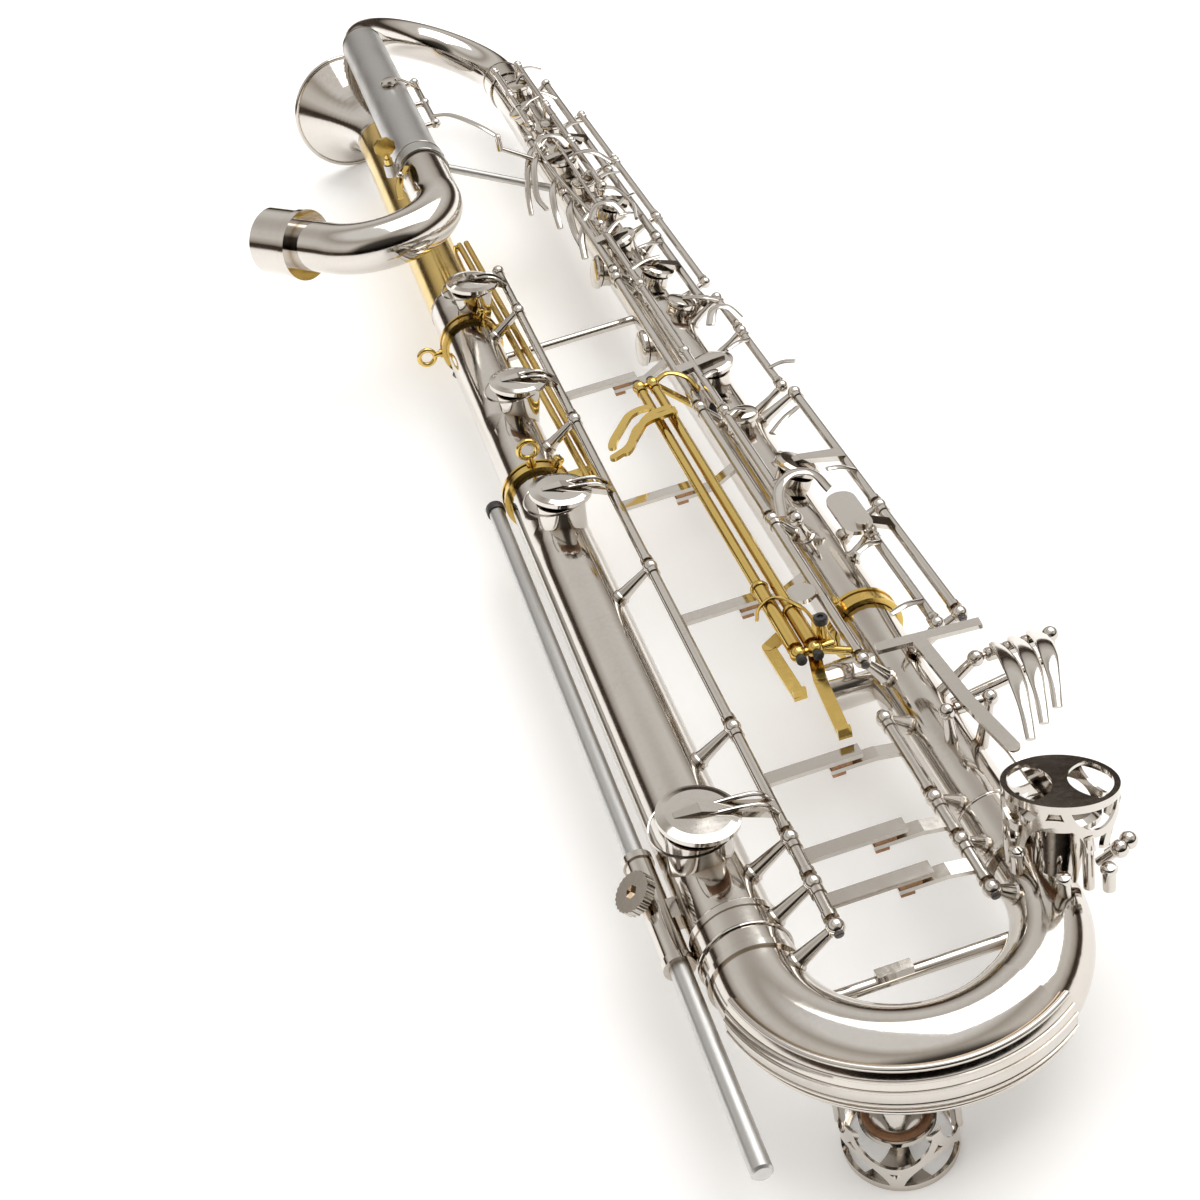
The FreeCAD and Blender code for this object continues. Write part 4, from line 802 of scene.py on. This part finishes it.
@dataclass
class RightKeywork:
    """Rods, cups and levers over the main tube, beside the hinged keys."""

    lines: tuple[HingeLine, ...] = (
        HingeLine("middle_line", 54.0, 30.0, RIGHT_X, (681.0, 574.0, 470.0, 389.0, 264.0),
                  ((668, 580), (566, 396), (382, 272))),
        HingeLine("far_line", 96.0, 23.0, RIGHT_X, (538.0, 486.0, 408.0), ((530, 494), (478, 416))),
        HingeLine("near_line", 86.0, 26.0, RIGHT_X, (239.0, 152.0), ((232, 158),)),
        HingeLine("top_line", 72.0, 31.0, RIGHT_X, (1040.0, 930.0, 842.0, 741.0),
                  ((1032, 938), (922, 850), (834, 748))),
        HingeLine("high_line", 52.0, 27.0, RIGHT_X, (1052.0, 985.0, 905.0), ((1044, 992), (978, 912))),
        HingeLine("back_line", 100.0, 14.0, RIGHT_X, (930.0, 820.0, 700.0, 580.0),
                  ((922, 828), (812, 708), (692, 588))),
    )
    cups: tuple[TubeCup, ...] = (
        TubeCup("top_cup_1", 1009.0, 0.0, 11.0, 22.0, (72.0, 1009.0, 33.0)),
        TubeCup("top_cup_2", 958.0, -24.0, 10.0, 22.0, (52.0, 950.0, 29.0)),
        TubeCup("top_cup_3", 905.0, 12.0, 9.0, 22.0, (72.0, 900.0, 33.0)),
        TubeCup("left_cup_1", 655.0, -72.0, 12.0, 22.0),
        TubeCup("left_cup_2", 534.0, -78.0, 12.0, 21.5),
        TubeCup("top_cup_4", 775.0, 2.0, 9.5, 22.0, (72.0, 770.0, 33.0)),
        TubeCup("top_cup_5", 548.0, 26.0, 10.0, 22.0, (96.0, 530.0, 25.0)),
        TubeCup("top_cup_6", 388.0, 4.0, 8.5, 22.0, (54.0, 380.0, 32.0)),
    )

    def build(self, bench: Bench) -> None:
        """Make the lines, cups, levers, hooks and bridges.

        Args:
            bench: Where the pieces are made.
        """
        for line in self.lines:
            line.build(bench)
        for cup in self.cups:
            cup.build(bench)
        self.add_levers(bench)
        self.add_hooks(bench)
        self.add_bridges(bench)

    def add_levers(self, bench: Bench) -> None:
        """Make the flat arms that join neighbouring lines.

        Args:
            bench: Where the pieces are made.
        """
        arms = (
            ((73, 868, 32), (92, 885, 26)), ((73, 755, 33), (91, 769, 26)), ((73, 704, 30), (91, 727, 25)),
            ((72, 355, 27), (95, 376, 26)), ((54, 660, 32), (72, 676, 33)), ((54, 596, 32), (78, 606, 30)),
            ((88, 640, 22), (68, 628, 30)), ((88, 694, 22), (70, 686, 31)), ((54, 430, 32), (70, 442, 26)),
            ((96, 470, 25), (78, 458, 29)), ((54, 300, 32), (76, 290, 38)), ((101, 300, 24), (84, 296, 33)),
            ((52, 940, 29), (70, 948, 33)), ((72, 1024, 33), (90, 1030, 25)),
            ((88, 960, 22), (70, 972, 30)),
            ((45, 700, 28), (62, 712, 31)), ((45, 850, 28), (62, 866, 31)), ((96, 430, 25), (110, 420, 30)),
            ((86, 226, 28), (70, 216, 33)), ((86, 170, 28), (66, 160, 34)),
        )
        bm = bmesh.new()
        for first, second in arms:
            middle = tuple((a + b) / 2 + rise for a, b, rise in zip(first, second, (0, 0, 1.6)))
            Ribbon((first, middle, second), (5.0, 4.2, 3.4), 2.0, steps=4, sides=10).add_to(bm)
        bench.keep(bm, "cross_arms", Coat.POLISHED, "clarinet_body", merge=False)

    def add_hooks(self, bench: Bench) -> None:
        """Make the curved finger levers that hang over the tube's left side.

        Args:
            bench: Where the pieces are made.
        """
        hooks = (
            ((52, 866, 26), (40, 848, 30), (30, 820, 27), (22, 790, 20), (18, 768, 13)),
            ((50, 842, 28), (38, 824, 31), (31, 800, 27), (27, 778, 21), (30, 762, 16)),
            ((48, 790, 28), (38, 766, 29), (33, 742, 24), (31, 722, 17)),
            ((48, 742, 28), (40, 720, 29), (37, 696, 23), (38, 676, 16)),
            ((46, 700, 27), (39, 684, 22), (36, 668, 14)),
        )
        bm = bmesh.new()
        for path in hooks:
            widths = tuple(6.0 - 0.5 * i if i else 4.0 for i in range(len(path)))
            Ribbon(path, widths, 2.2, steps=6, sides=12).add_to(bm)
        bench.keep(bm, "finger_hooks", Coat.POLISHED, "clarinet_body", merge=False)

    def add_bridges(self, bench: Bench) -> None:
        """Make the arched straps over the rods and the wire loops at their top.

        Args:
            bench: Where the pieces are made.
        """
        bm = bmesh.new()
        arches = (
            ((48, 270, 30), (52, 282, 40), (62, 288, 43), (73, 286, 40), (79, 280, 31)),
            ((62, 814, 30), (70, 800, 38), (80, 790, 38), (90, 784, 30)),
            ((42, 842, 30), (50, 850, 37), (62, 846, 37), (68, 836, 30)),
            ((50, 694, 30), (58, 700, 37), (68, 696, 37), (74, 688, 29)),
            ((80, 500, 26), (86, 508, 32), (94, 506, 32), (100, 498, 25)),
        )
        for path in arches:
            Ribbon(path, (6.4,) * len(path), 1.8, steps=6, sides=12).add_to(bm)
        loops = (
            ((54, 690, 31), (47, 760, 33), (44, 820, 34), (46, 850, 35),
             (54, 860, 35), (60, 850, 34), (60, 700, 32)),
            ((72, 741, 31), (80, 730, 31), (84, 700, 30), (80, 676, 29)),
        )
        for path in loops:
            Ribbon(path, (2.6,) * len(path), 2.6, steps=7, sides=10).add_to(bm)
        bench.keep(bm, "rod_bridges", Coat.POLISHED, "clarinet_body", merge=False)


@dataclass
class FingerBlades:
    """Little-finger plates: long leaf-shaped blades in place of the plain ones."""

    count: int = 3
    first_x: float = 102.2
    pitch: float = 9.35
    hub_y: float = 122.0
    hub_z: float = 24.0
    hub_radius: float = 3.4
    hub_length: float = 9.0
    slant: float = 16.0
    first_length: float = 74.0
    length_step: float = 6.0
    first_rise: float = 12.0
    rise_step: float = 1.5
    leaf_root: float = 4.4
    leaf_spread: float = 4.0
    leaf_thickness: float = 2.4
    places: int = 6

    def build(self, bench: Bench) -> None:
        """Make one blade for each hinged plate.

        Args:
            bench: Where the pieces are made.
        """
        for index in range(self.count):
            middle = self.first_x + index * self.pitch
            node = f"finger_key_{index + 1}"
            bm = bmesh.new()
            length = self.first_length - self.length_step * index
            self.add_blade(bm, middle, length, self.first_rise + self.rise_step * index)
            start = at(middle - self.hub_length / 2, self.hub_y, self.hub_z)
            bench.turn(bm, start, X_AXIS, [
                (0, 1.7), (0, 3.0), (0.6, self.hub_radius), (self.hub_length - 0.6, self.hub_radius),
                (self.hub_length, 3.0), (self.hub_length, 1.7)], 24)
            piece = bench.keep(bm, f"finger_blade_{index + 1}", Coat.POLISHED, node, merge=False)
            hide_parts(node)

    def add_blade(self, bm: Mesh, x: float, length: float, rise: float) -> None:
        """Add an arched leaf that widens, then narrows to its tip.

        Args:
            bm: Mesh of the plate.
            x: Middle of its hub.
            length: Length of the leaf.
            rise: Height of its arch.
        """
        points = []
        widths = []
        for i in range(self.places):
            share = i / (self.places - 1)
            points.append((
                x - self.slant * share ** 1.5,
                self.hub_y + 1 - share * length,
                self.hub_z + 4.4 + rise * math.sin(math.pi * share * 0.82)))
            swell = math.sin(math.pi * min(1.0, share * 1.15))
            widths.append(self.leaf_root + self.leaf_spread * swell)
        Ribbon(tuple(points), tuple(widths), self.leaf_thickness, steps=5, sides=16).add_to(bm)


@dataclass
class SmallTrim:
    """Screws, seams, beads, needle springs and the endpin's plug."""

    post_lines: tuple[tuple[float, float, tuple[float, ...]], ...] = (
        (-28.0, 25.0, (666, 598.5, 438.5, 269, 127, 47.5, 18.5, -8)),
        (43.0, 28.0, (598, 404, 273, 141)),
        (40.0, 18.0, (108, 50, 21.5, -9)),
        (88.0, 20.0, (1006, 790, 655, 545)),
        (101.0, 21.0, (400, 265, 160)),
        (45.0, 26.0, (880, 760, 612)),
    )

    def build(self, bench: Bench) -> None:
        """Make all the small pieces.

        Args:
            bench: Where the pieces are made.
        """
        self.add_springs(bench)
        self.add_post_cones(bench)
        self.add_rod_ends(bench)
        self.add_seams(bench)
        self.add_clamp_screws(bench)
        self.add_endpin_plug(bench)
        self.add_guard_screws(bench)
        self.add_bow_beads(bench)
        self.add_crook_bow(bench)

    def add_springs(self, bench: Bench) -> None:
        """Draw a needle spring out of every post, along its rod.

        Args:
            bench: Where the pieces are made.
        """
        bm = bmesh.new()
        for x, z, posts in self.post_lines:
            for y in posts[1:]:
                bench.rod(bm, at(x + 1.5, y + 1, z - 2.6), at(x + 3.4, y + 30, z - 3.6), 0.45, 8)
        bench.keep(bm, "needle_springs", Coat.STEEL, "clarinet_body")

    def add_post_cones(self, bench: Bench) -> None:
        """Swell the foot of every packed post into a turned cone.

        Args:
            bench: Where the pieces are made.
        """
        bm = bmesh.new()
        for x, z, posts in self.post_lines:
            tube_x = LEFT_X if x < 0 else RIGHT_X
            for y in posts:
                surface = self.tube_surface(tube_x, y)
                root = at(tube_x, y, 0)
                ball = at(x, y, z)
                way = (ball - root).normalized()
                reach = (ball - root).length / MM - surface - POST_BALL
                foot = root + way * (surface + 0.1) * MM
                bench.turn(bm, foot, way, [
                    (0, 4.7), (1.6, 4.9), (2.4, 4.0), (min(4.5, reach * 0.5), 3.6),
                    (reach, 2.45), (reach, 2.0)], 20)
        bench.keep(bm, "post_cones", Coat.POLISHED, "clarinet_body")

    def tube_surface(self, tube_x: float, y: float) -> float:
        """Find the radius of the tube that a post stands on.

        Args:
            tube_x: Axis of the tube.
            y: Millimetres along the tube.

        Returns:
            The radius in millimetres.
        """
        if tube_x < 0:
            return 20.0 if y < 30 else 19.5
        return 17.2 if y > 190 else (16.8 if y < 44 else 15.2)

    def add_rod_ends(self, bench: Bench) -> None:
        """Put a slotted pivot screw into the outer balls of every line.

        Args:
            bench: Where the pieces are made.
        """
        bm = bmesh.new()
        for x, z, posts in self.post_lines:
            for y, way in ((posts[0] + POST_BALL, 1), (posts[-1] - POST_BALL, -1)):
                bench.turn(bm, at(x, y, z), Y_AXIS * way, [
                    (0, 0), (0, 2.2), (0.7, 2.2), (0.9, 1.9), (0.9, 0)], 20)
                bench.bar(bm, at(x - 1.6, y + way * 1.0, z), at(x + 1.6, y + way * 1.0, z), 0.6, 0.6, 0.1)
        bench.keep(bm, "pivot_screws", Coat.STEEL, "clarinet_body")

    def add_seams(self, bench: Bench) -> None:
        """Run thin rings round the joints of the tubes.

        Args:
            bench: Where the pieces are made.
        """
        rings = (
            (LEFT_X, 0, 27.6, 20.9), (LEFT_X, 0, 12.6, 21.5),
            (LEFT_X, 0, 672.4, 19.3), (LEFT_X, 0, 1034.0, 19.3),
            (RIGHT_X, 0, 12.6, 18.9), (RIGHT_X, 0, 43.6, 17.2),
            (RIGHT_X, 0, 1064.0, 18.6), (RIGHT_X, 0, 1094.5, 18.6),
            (-53.0, 66.0, 1094.0, 18.3), (-53.0, 66.0, 776.8, 19.5), (-53.0, 66.0, 793.6, 19.4),
        )
        bm = bmesh.new()
        for x, z, y, radius in rings:
            bench.turn(bm, at(x, y, z), Y_AXIS, [
                (-0.8, radius - 0.8), (-0.5, radius + 0.05), (0, radius + 0.25), (0.5, radius + 0.05),
                (0.8, radius - 0.8)], 64)
        bench.keep(bm, "tube_seams", Coat.POLISHED, "clarinet_body")

    def add_clamp_screws(self, bench: Bench) -> None:
        """Close every clamp with a screw whose slot is painted shade: a near-black bar laid on its head.

        Args:
            bench: Where the pieces are made.
        """
        metal = bmesh.new()
        dark = bmesh.new()
        clamps = ((LEFT_X, 619.0, 22.4, 60.0), (LEFT_X, 408.0, 22.4, 50.0), (RIGHT_X, 199.0, 20.8, 125.0))
        for x, y, radius, degrees in clamps:
            turn = math.radians(degrees)
            way = Vector((math.cos(turn), 0, math.sin(turn)))
            start = at(x, y, 0) + way * (radius + 2.6) * MM
            bench.turn(metal, start, way, [
                (0, 0), (0, 3.4), (1.4, 3.6), (2.6, 3.0), (3.0, 2.0), (3.0, 0)], 24)
            # Painted shade: the slot is a near-black rubber bar on the head, not a cut; the same mesh also
            # holds a dark rubber tip.
            slot = start + way * 2.9 * MM
            bench.bar(dark, slot - Y_AXIS * 2.6 * MM, slot + Y_AXIS * 2.6 * MM, 0.8, 0.8, 0.1, way)
        bench.keep(metal, "clamp_screws", Coat.LACQUER, "clarinet_body")
        tip = at(-74.0, 612.0, -11.0)
        bench.turn(dark, tip, Vector((-0.7, -0.5, -0.5)), [
            (0, 0), (0, 3.6), (7, 4.0), (9, 3.4), (9, 0)], 20)
        bench.keep(dark, "clamp_slot_shade_and_tip", Coat.RUBBER, "clarinet_body")

    def add_endpin_plug(self, bench: Bench) -> None:
        """Close the endpin's upper end with a dark plug and ease its tip.

        Args:
            bench: Where the pieces are made.
        """
        bm = bmesh.new()
        bench.turn(bm, at(-91.5, 401.5, 0), Y_AXIS, [
            (0, 0), (0, 5.4), (1, 5.8), (6, 5.8), (7.5, 4.8), (8, 0)], 32)
        bench.keep(bm, "endpin_plug", Coat.RUBBER, "endpin")

    def add_guard_screws(self, bench: Bench) -> None:
        """Set round-headed screws on the guard's posts and beside its wall.

        Args:
            bench: Where the pieces are made.
        """
        bm = bmesh.new()
        for place in ((55.5, -1.0, 25.0), (66.0, -22.0, 24.0), (86.0, -22.0, 21.0)):
            start = at(*place)
            bench.rod(bm, start - Z_AXIS * 12 * MM, start, 2.8)
            bench.turn(bm, start, Z_AXIS, [
                (0, 0), (0, 3.6), (1.2, 3.6), (2.4, 2.8), (3.0, 1.2), (3.1, 0)], 24)
        for x, y, z in ((95.0, -14.0, 22.0), (100.0, -12.0, 23.0)):
            bench.ball(bm, at(x, y, z), 4.0)
            bench.rod(bm, at(x - 8, y + 4, z - 9), at(x, y, z), 2.3)
        bench.keep(bm, "guard_screws", Coat.POLISHED, "clarinet_body")

    def add_bow_beads(self, bench: Bench) -> None:
        """Run beads along the strip round the outside of the bottom bow.

        Args:
            bench: Where the pieces are made.
        """
        bm = bmesh.new()
        for height, out in ((-8.5, 83.2), (-4.0, 84.6), (4.0, 84.6), (8.5, 83.2)):
            points = []
            for i in range(17):
                turn = math.radians(192 + i * 7.0)
                points.append((out * math.cos(turn), out * math.sin(turn), height))
            Ribbon(tuple(points), (1.3,) * len(points), 1.3, steps=3, sides=8).add_to(bm)
        bench.keep(bm, "bow_beads", Coat.POLISHED, "clarinet_body", merge=False)

    def add_crook_bow(self, bench: Bench) -> None:
        """Bend the brass stay and its ball inside the neck's crook.

        Args:
            bench: Where the pieces are made.
        """
        bm = bmesh.new()
        Ribbon(
            ((-66, 764, 80), (-72, 752, 79), (-76, 738, 77), (-78, 722, 75)),
            (5.5, 6.0, 6.0, 5.0), 1.8, steps=6, sides=12).add_to(bm)
        bench.keep(bm, "crook_stay", Coat.LACQUER, "neck", merge=False)
        ball = bmesh.new()
        bench.ball(ball, at(-72.5, 747, 82), 2.6)
        bench.keep(ball, "crook_screw", Coat.POLISHED, "neck")


@dataclass
class RegisterWork:
    """The short key between the upper tube and the main tube."""

    rod_x: float = -27.0
    rod_z: float = 66.0

    def build(self, bench: Bench) -> None:
        """Make its rod, posts, lever and cup.

        Args:
            bench: Where the pieces are made.
        """
        bm = bmesh.new()
        bench.rod(bm, at(self.rod_x, 872, self.rod_z), at(self.rod_x, 966, self.rod_z), 2.6)
        for y in (868, 918, 970):
            bench.ball(bm, at(self.rod_x, y, self.rod_z), 4.0)
            bench.rod(bm, at(-38, y, self.rod_z), at(self.rod_x, y, self.rod_z), 2.3)
        Ribbon(
            ((self.rod_x, 880, self.rod_z + 2), (-14, 868, 69), (2, 846, 64), (14, 830, 56)),
            (6.0, 5.2, 5.0, 4.6), 2.2).add_to(bm)
        Ribbon(
            ((self.rod_x, 948, self.rod_z + 2), (-33, 944, 76), (-42, 938, 84), (-50, 932, 86)),
            (5.0, 5.0, 4.6, 4.0), 2.0).add_to(bm)
        bench.turn(bm, at(-50, 932, 85), Z_AXIS, [
            (0, 0), (0, 6.5), (1.5, 6.8), (3.0, 6.0), (3.4, 0)], 28)
        bench.rod(bm, at(-51, 932, 82), at(-51, 932, 86), 4.5)
        bench.rod(bm, at(14, 830, 44), at(14, 830, 58), 2.4)
        bench.rod(bm, at(14, 830, 46), at(50, 830, 22), 2.0)
        bench.keep(bm, "register_key", Coat.POLISHED, "clarinet_body", merge=False)


@dataclass
class Studio:
    """White floor, soft lights and the camera of the photograph."""

    camera_place: Triple = (-147.7, -488.8, 580.8)
    camera_right: Triple = (0.95059, -0.24193, -0.19456)
    camera_down: Triple = (-0.29946, -0.54920, -0.78020)
    camera_forward: Triple = (0.08190, 0.79991, -0.59451)
    focal_px: float = 1764.6
    centre_px: tuple[float, float] = (578.36, 601.36)
    frame_px: float = 1200.0
    sensor: float = 36.0
    floor_size: float = 14.0
    floor_glow: float = 0.16
    room_strength: float = 0.82
    sky_stops: RampStops = (
        (0.0, (0.50, 0.46, 0.41)), (0.03, (0.09, 0.065, 0.05)), (0.17, (0.05, 0.038, 0.03)),
        (0.27, (0.55, 0.50, 0.45)), (0.45, (0.90, 0.88, 0.85)), (0.62, (0.86, 0.84, 0.81)),
        (0.80, (0.55, 0.51, 0.46)), (0.92, (1.0, 1.0, 1.0)))
    depth_stops: RampStops = (
        (-0.95, (0.05, 0.045, 0.04)), (-0.78, (0.10, 0.09, 0.08)),
        (-0.62, (1.0, 0.98, 0.95)), (1.0, (1.0, 1.0, 1.0)))

    def build(self) -> None:
        """Set the whole studio up."""
        self.set_view()
        self.add_floor()
        self.add_world()
        self.add_lights()
        self.add_camera()

    def set_view(self) -> None:
        """Use the plain display transform, so whites stay white."""
        bpy.context.scene.view_settings.view_transform = "Standard"

    def add_floor(self) -> None:
        """Lay the white table under the instrument."""
        bm = bmesh.new()
        bmesh.ops.create_grid(bm, x_segments=1, y_segments=1, size=self.floor_size / 2)
        mesh = bpy.data.meshes.new("floor")
        bm.to_mesh(mesh)
        bm.free()
        floor = bpy.data.objects.new("floor", mesh)
        bpy.context.scene.collection.objects.link(floor)
        sheet = NodeSheet("white_table")
        paper = sheet.ramp(sheet.noise(6.0), [(0.3, (0.93, 0.93, 0.93)), (0.7, (0.95, 0.95, 0.95))])
        sheet.link(paper, sheet.shader.inputs["Base Color"])
        sheet.shader.inputs["Roughness"].default_value = 0.9
        sheet.shader.inputs["Emission Color"].default_value = (1.0, 1.0, 1.0, 1.0)
        sheet.shader.inputs["Emission Strength"].default_value = self.floor_glow
        mesh.materials.append(sheet.material)

    def add_world(self) -> None:
        """Surround the table with a pale room: dark at the horizon and behind the camera."""
        world = bpy.data.worlds.new("room")
        bpy.context.scene.world = world
        world.use_nodes = True
        tree = world.node_tree
        tree.nodes.clear()
        output = tree.nodes.new("ShaderNodeOutputWorld")
        light = tree.nodes.new("ShaderNodeBackground")
        split = tree.nodes.new("ShaderNodeSeparateXYZ")
        coords = tree.nodes.new("ShaderNodeTexCoord")
        tree.links.new(coords.outputs["Generated"], split.inputs[0])
        height = self.world_ramp(tree, split.outputs["Z"], self.sky_stops)
        depth = self.world_ramp(tree, split.outputs["Y"], self.depth_stops)
        product = tree.nodes.new("ShaderNodeMix")
        product.data_type = "RGBA"
        product.blend_type = "MULTIPLY"
        product.inputs[0].default_value = 1.0
        tree.links.new(height, product.inputs[6])
        tree.links.new(depth, product.inputs[7])
        tree.links.new(product.outputs[2], light.inputs["Color"])
        light.inputs["Strength"].default_value = self.room_strength
        tree.links.new(light.outputs[0], output.inputs["Surface"])

    def world_ramp(
            self, tree: bpy.types.NodeTree, value: Socket, stops: RampStops) -> Socket:
        """Colour the room along one direction.

        Args:
            tree: Node tree of the world.
            value: Part of the view direction, from -1 to 1.
            stops: Places from -1 to 1 and their colours.

        Returns:
            The socket with the colour.
        """
        span = tree.nodes.new("ShaderNodeMapRange")
        span.inputs["From Min"].default_value = -1.0
        tree.links.new(value, span.inputs["Value"])
        ramp = tree.nodes.new("ShaderNodeValToRGB")
        fill_ramp(ramp, [((place + 1) / 2, colour) for place, colour in stops])
        tree.links.new(span.outputs[0], ramp.inputs["Fac"])
        return ramp.outputs["Color"]

    def add_lights(self) -> None:
        """Hang the soft boxes."""
        boxes = (
            ("key_box", (1.2, 0.3, 2.4), (0.0, 0.0, 0.0), 2.4, 44.0, (1.0, 1.0, 1.0)),
            ("fill_box", (-2.1, -0.6, 1.6), (0.0, 0.0, 0.1), 1.8, 16.0, (1.0, 0.98, 0.95)),
            ("back_box", (0.2, 2.4, 1.8), (0.0, 0.2, 0.0), 2.2, 26.0, (1.0, 1.0, 1.0)),
        )
        for name, place, target, size, power, colour in boxes:
            lamp = bpy.data.lights.new(name, "AREA")
            lamp.shape = "SQUARE"
            lamp.size = size
            lamp.energy = power
            lamp.color = colour
            box = bpy.data.objects.new(name, lamp)
            box.location = place
            aim = Vector(target) - Vector(place)
            box.rotation_euler = aim.to_track_quat("-Z", "Y").to_euler()
            box.visible_glossy = name == "key_box"
            bpy.context.scene.collection.objects.link(box)

    def add_camera(self) -> None:
        """Place the camera where the photograph was taken from."""
        data = bpy.data.cameras.new("camera")
        data.sensor_width = self.sensor
        data.lens = self.sensor * self.focal_px / self.frame_px
        data.shift_x = 0.5 - self.centre_px[0] / self.frame_px
        data.shift_y = self.centre_px[1] / self.frame_px - 0.5
        data.clip_start = 0.01
        data.clip_end = 50.0
        camera = bpy.data.objects.new("camera", data)
        turn = Matrix((
            self.camera_right,
            tuple(-v for v in self.camera_down),
            tuple(-v for v in self.camera_forward),
        )).transposed().to_4x4()
        camera.matrix_world = Matrix.Translation(at(*self.camera_place)) @ turn
        bpy.context.scene.collection.objects.link(camera)
        bpy.context.scene.camera = camera


NODE_COATS = {
    Coat.LACQUER: (
        "bell_sleeve", "tube_clamps", "brass_frame", "linkage_rods",
        "brass_key_1", "brass_key_2", "neck_screw"),
    Coat.SATIN: ("upper_tube", "endpin"),
    Coat.LEATHER: ("left_pad_1", "left_pad_2", "left_pad_3", "left_pad_4", "low_pad_1", "low_pad_2"),
}


def dress_nodes(bench: Bench) -> None:
    """Give every node its finish; what isn't listed is polished plate.

    Args:
        bench: Where the finishes are mixed.
    """
    listed = {node: coat for coat, nodes in NODE_COATS.items() for node in nodes}
    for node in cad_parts:
        bench.dress_node(node, listed.get(node, Coat.POLISHED))


def main() -> None:
    """Build the dressed instrument and its studio."""
    logging.basicConfig(level=logging.INFO, format="%(message)s")
    bench = Bench()
    dress_nodes(bench)
    sections = (
        LeftCups(), Corks(), BrassTrim(), RightKeywork(), FingerBlades(), SmallTrim(), RegisterWork())
    for section in sections:
        log.info("building %s", type(section).__name__)
        section.build(bench)
    Studio().build()
    log.info("%d pieces", bench.count)


if __name__ == "__main__":
    main()
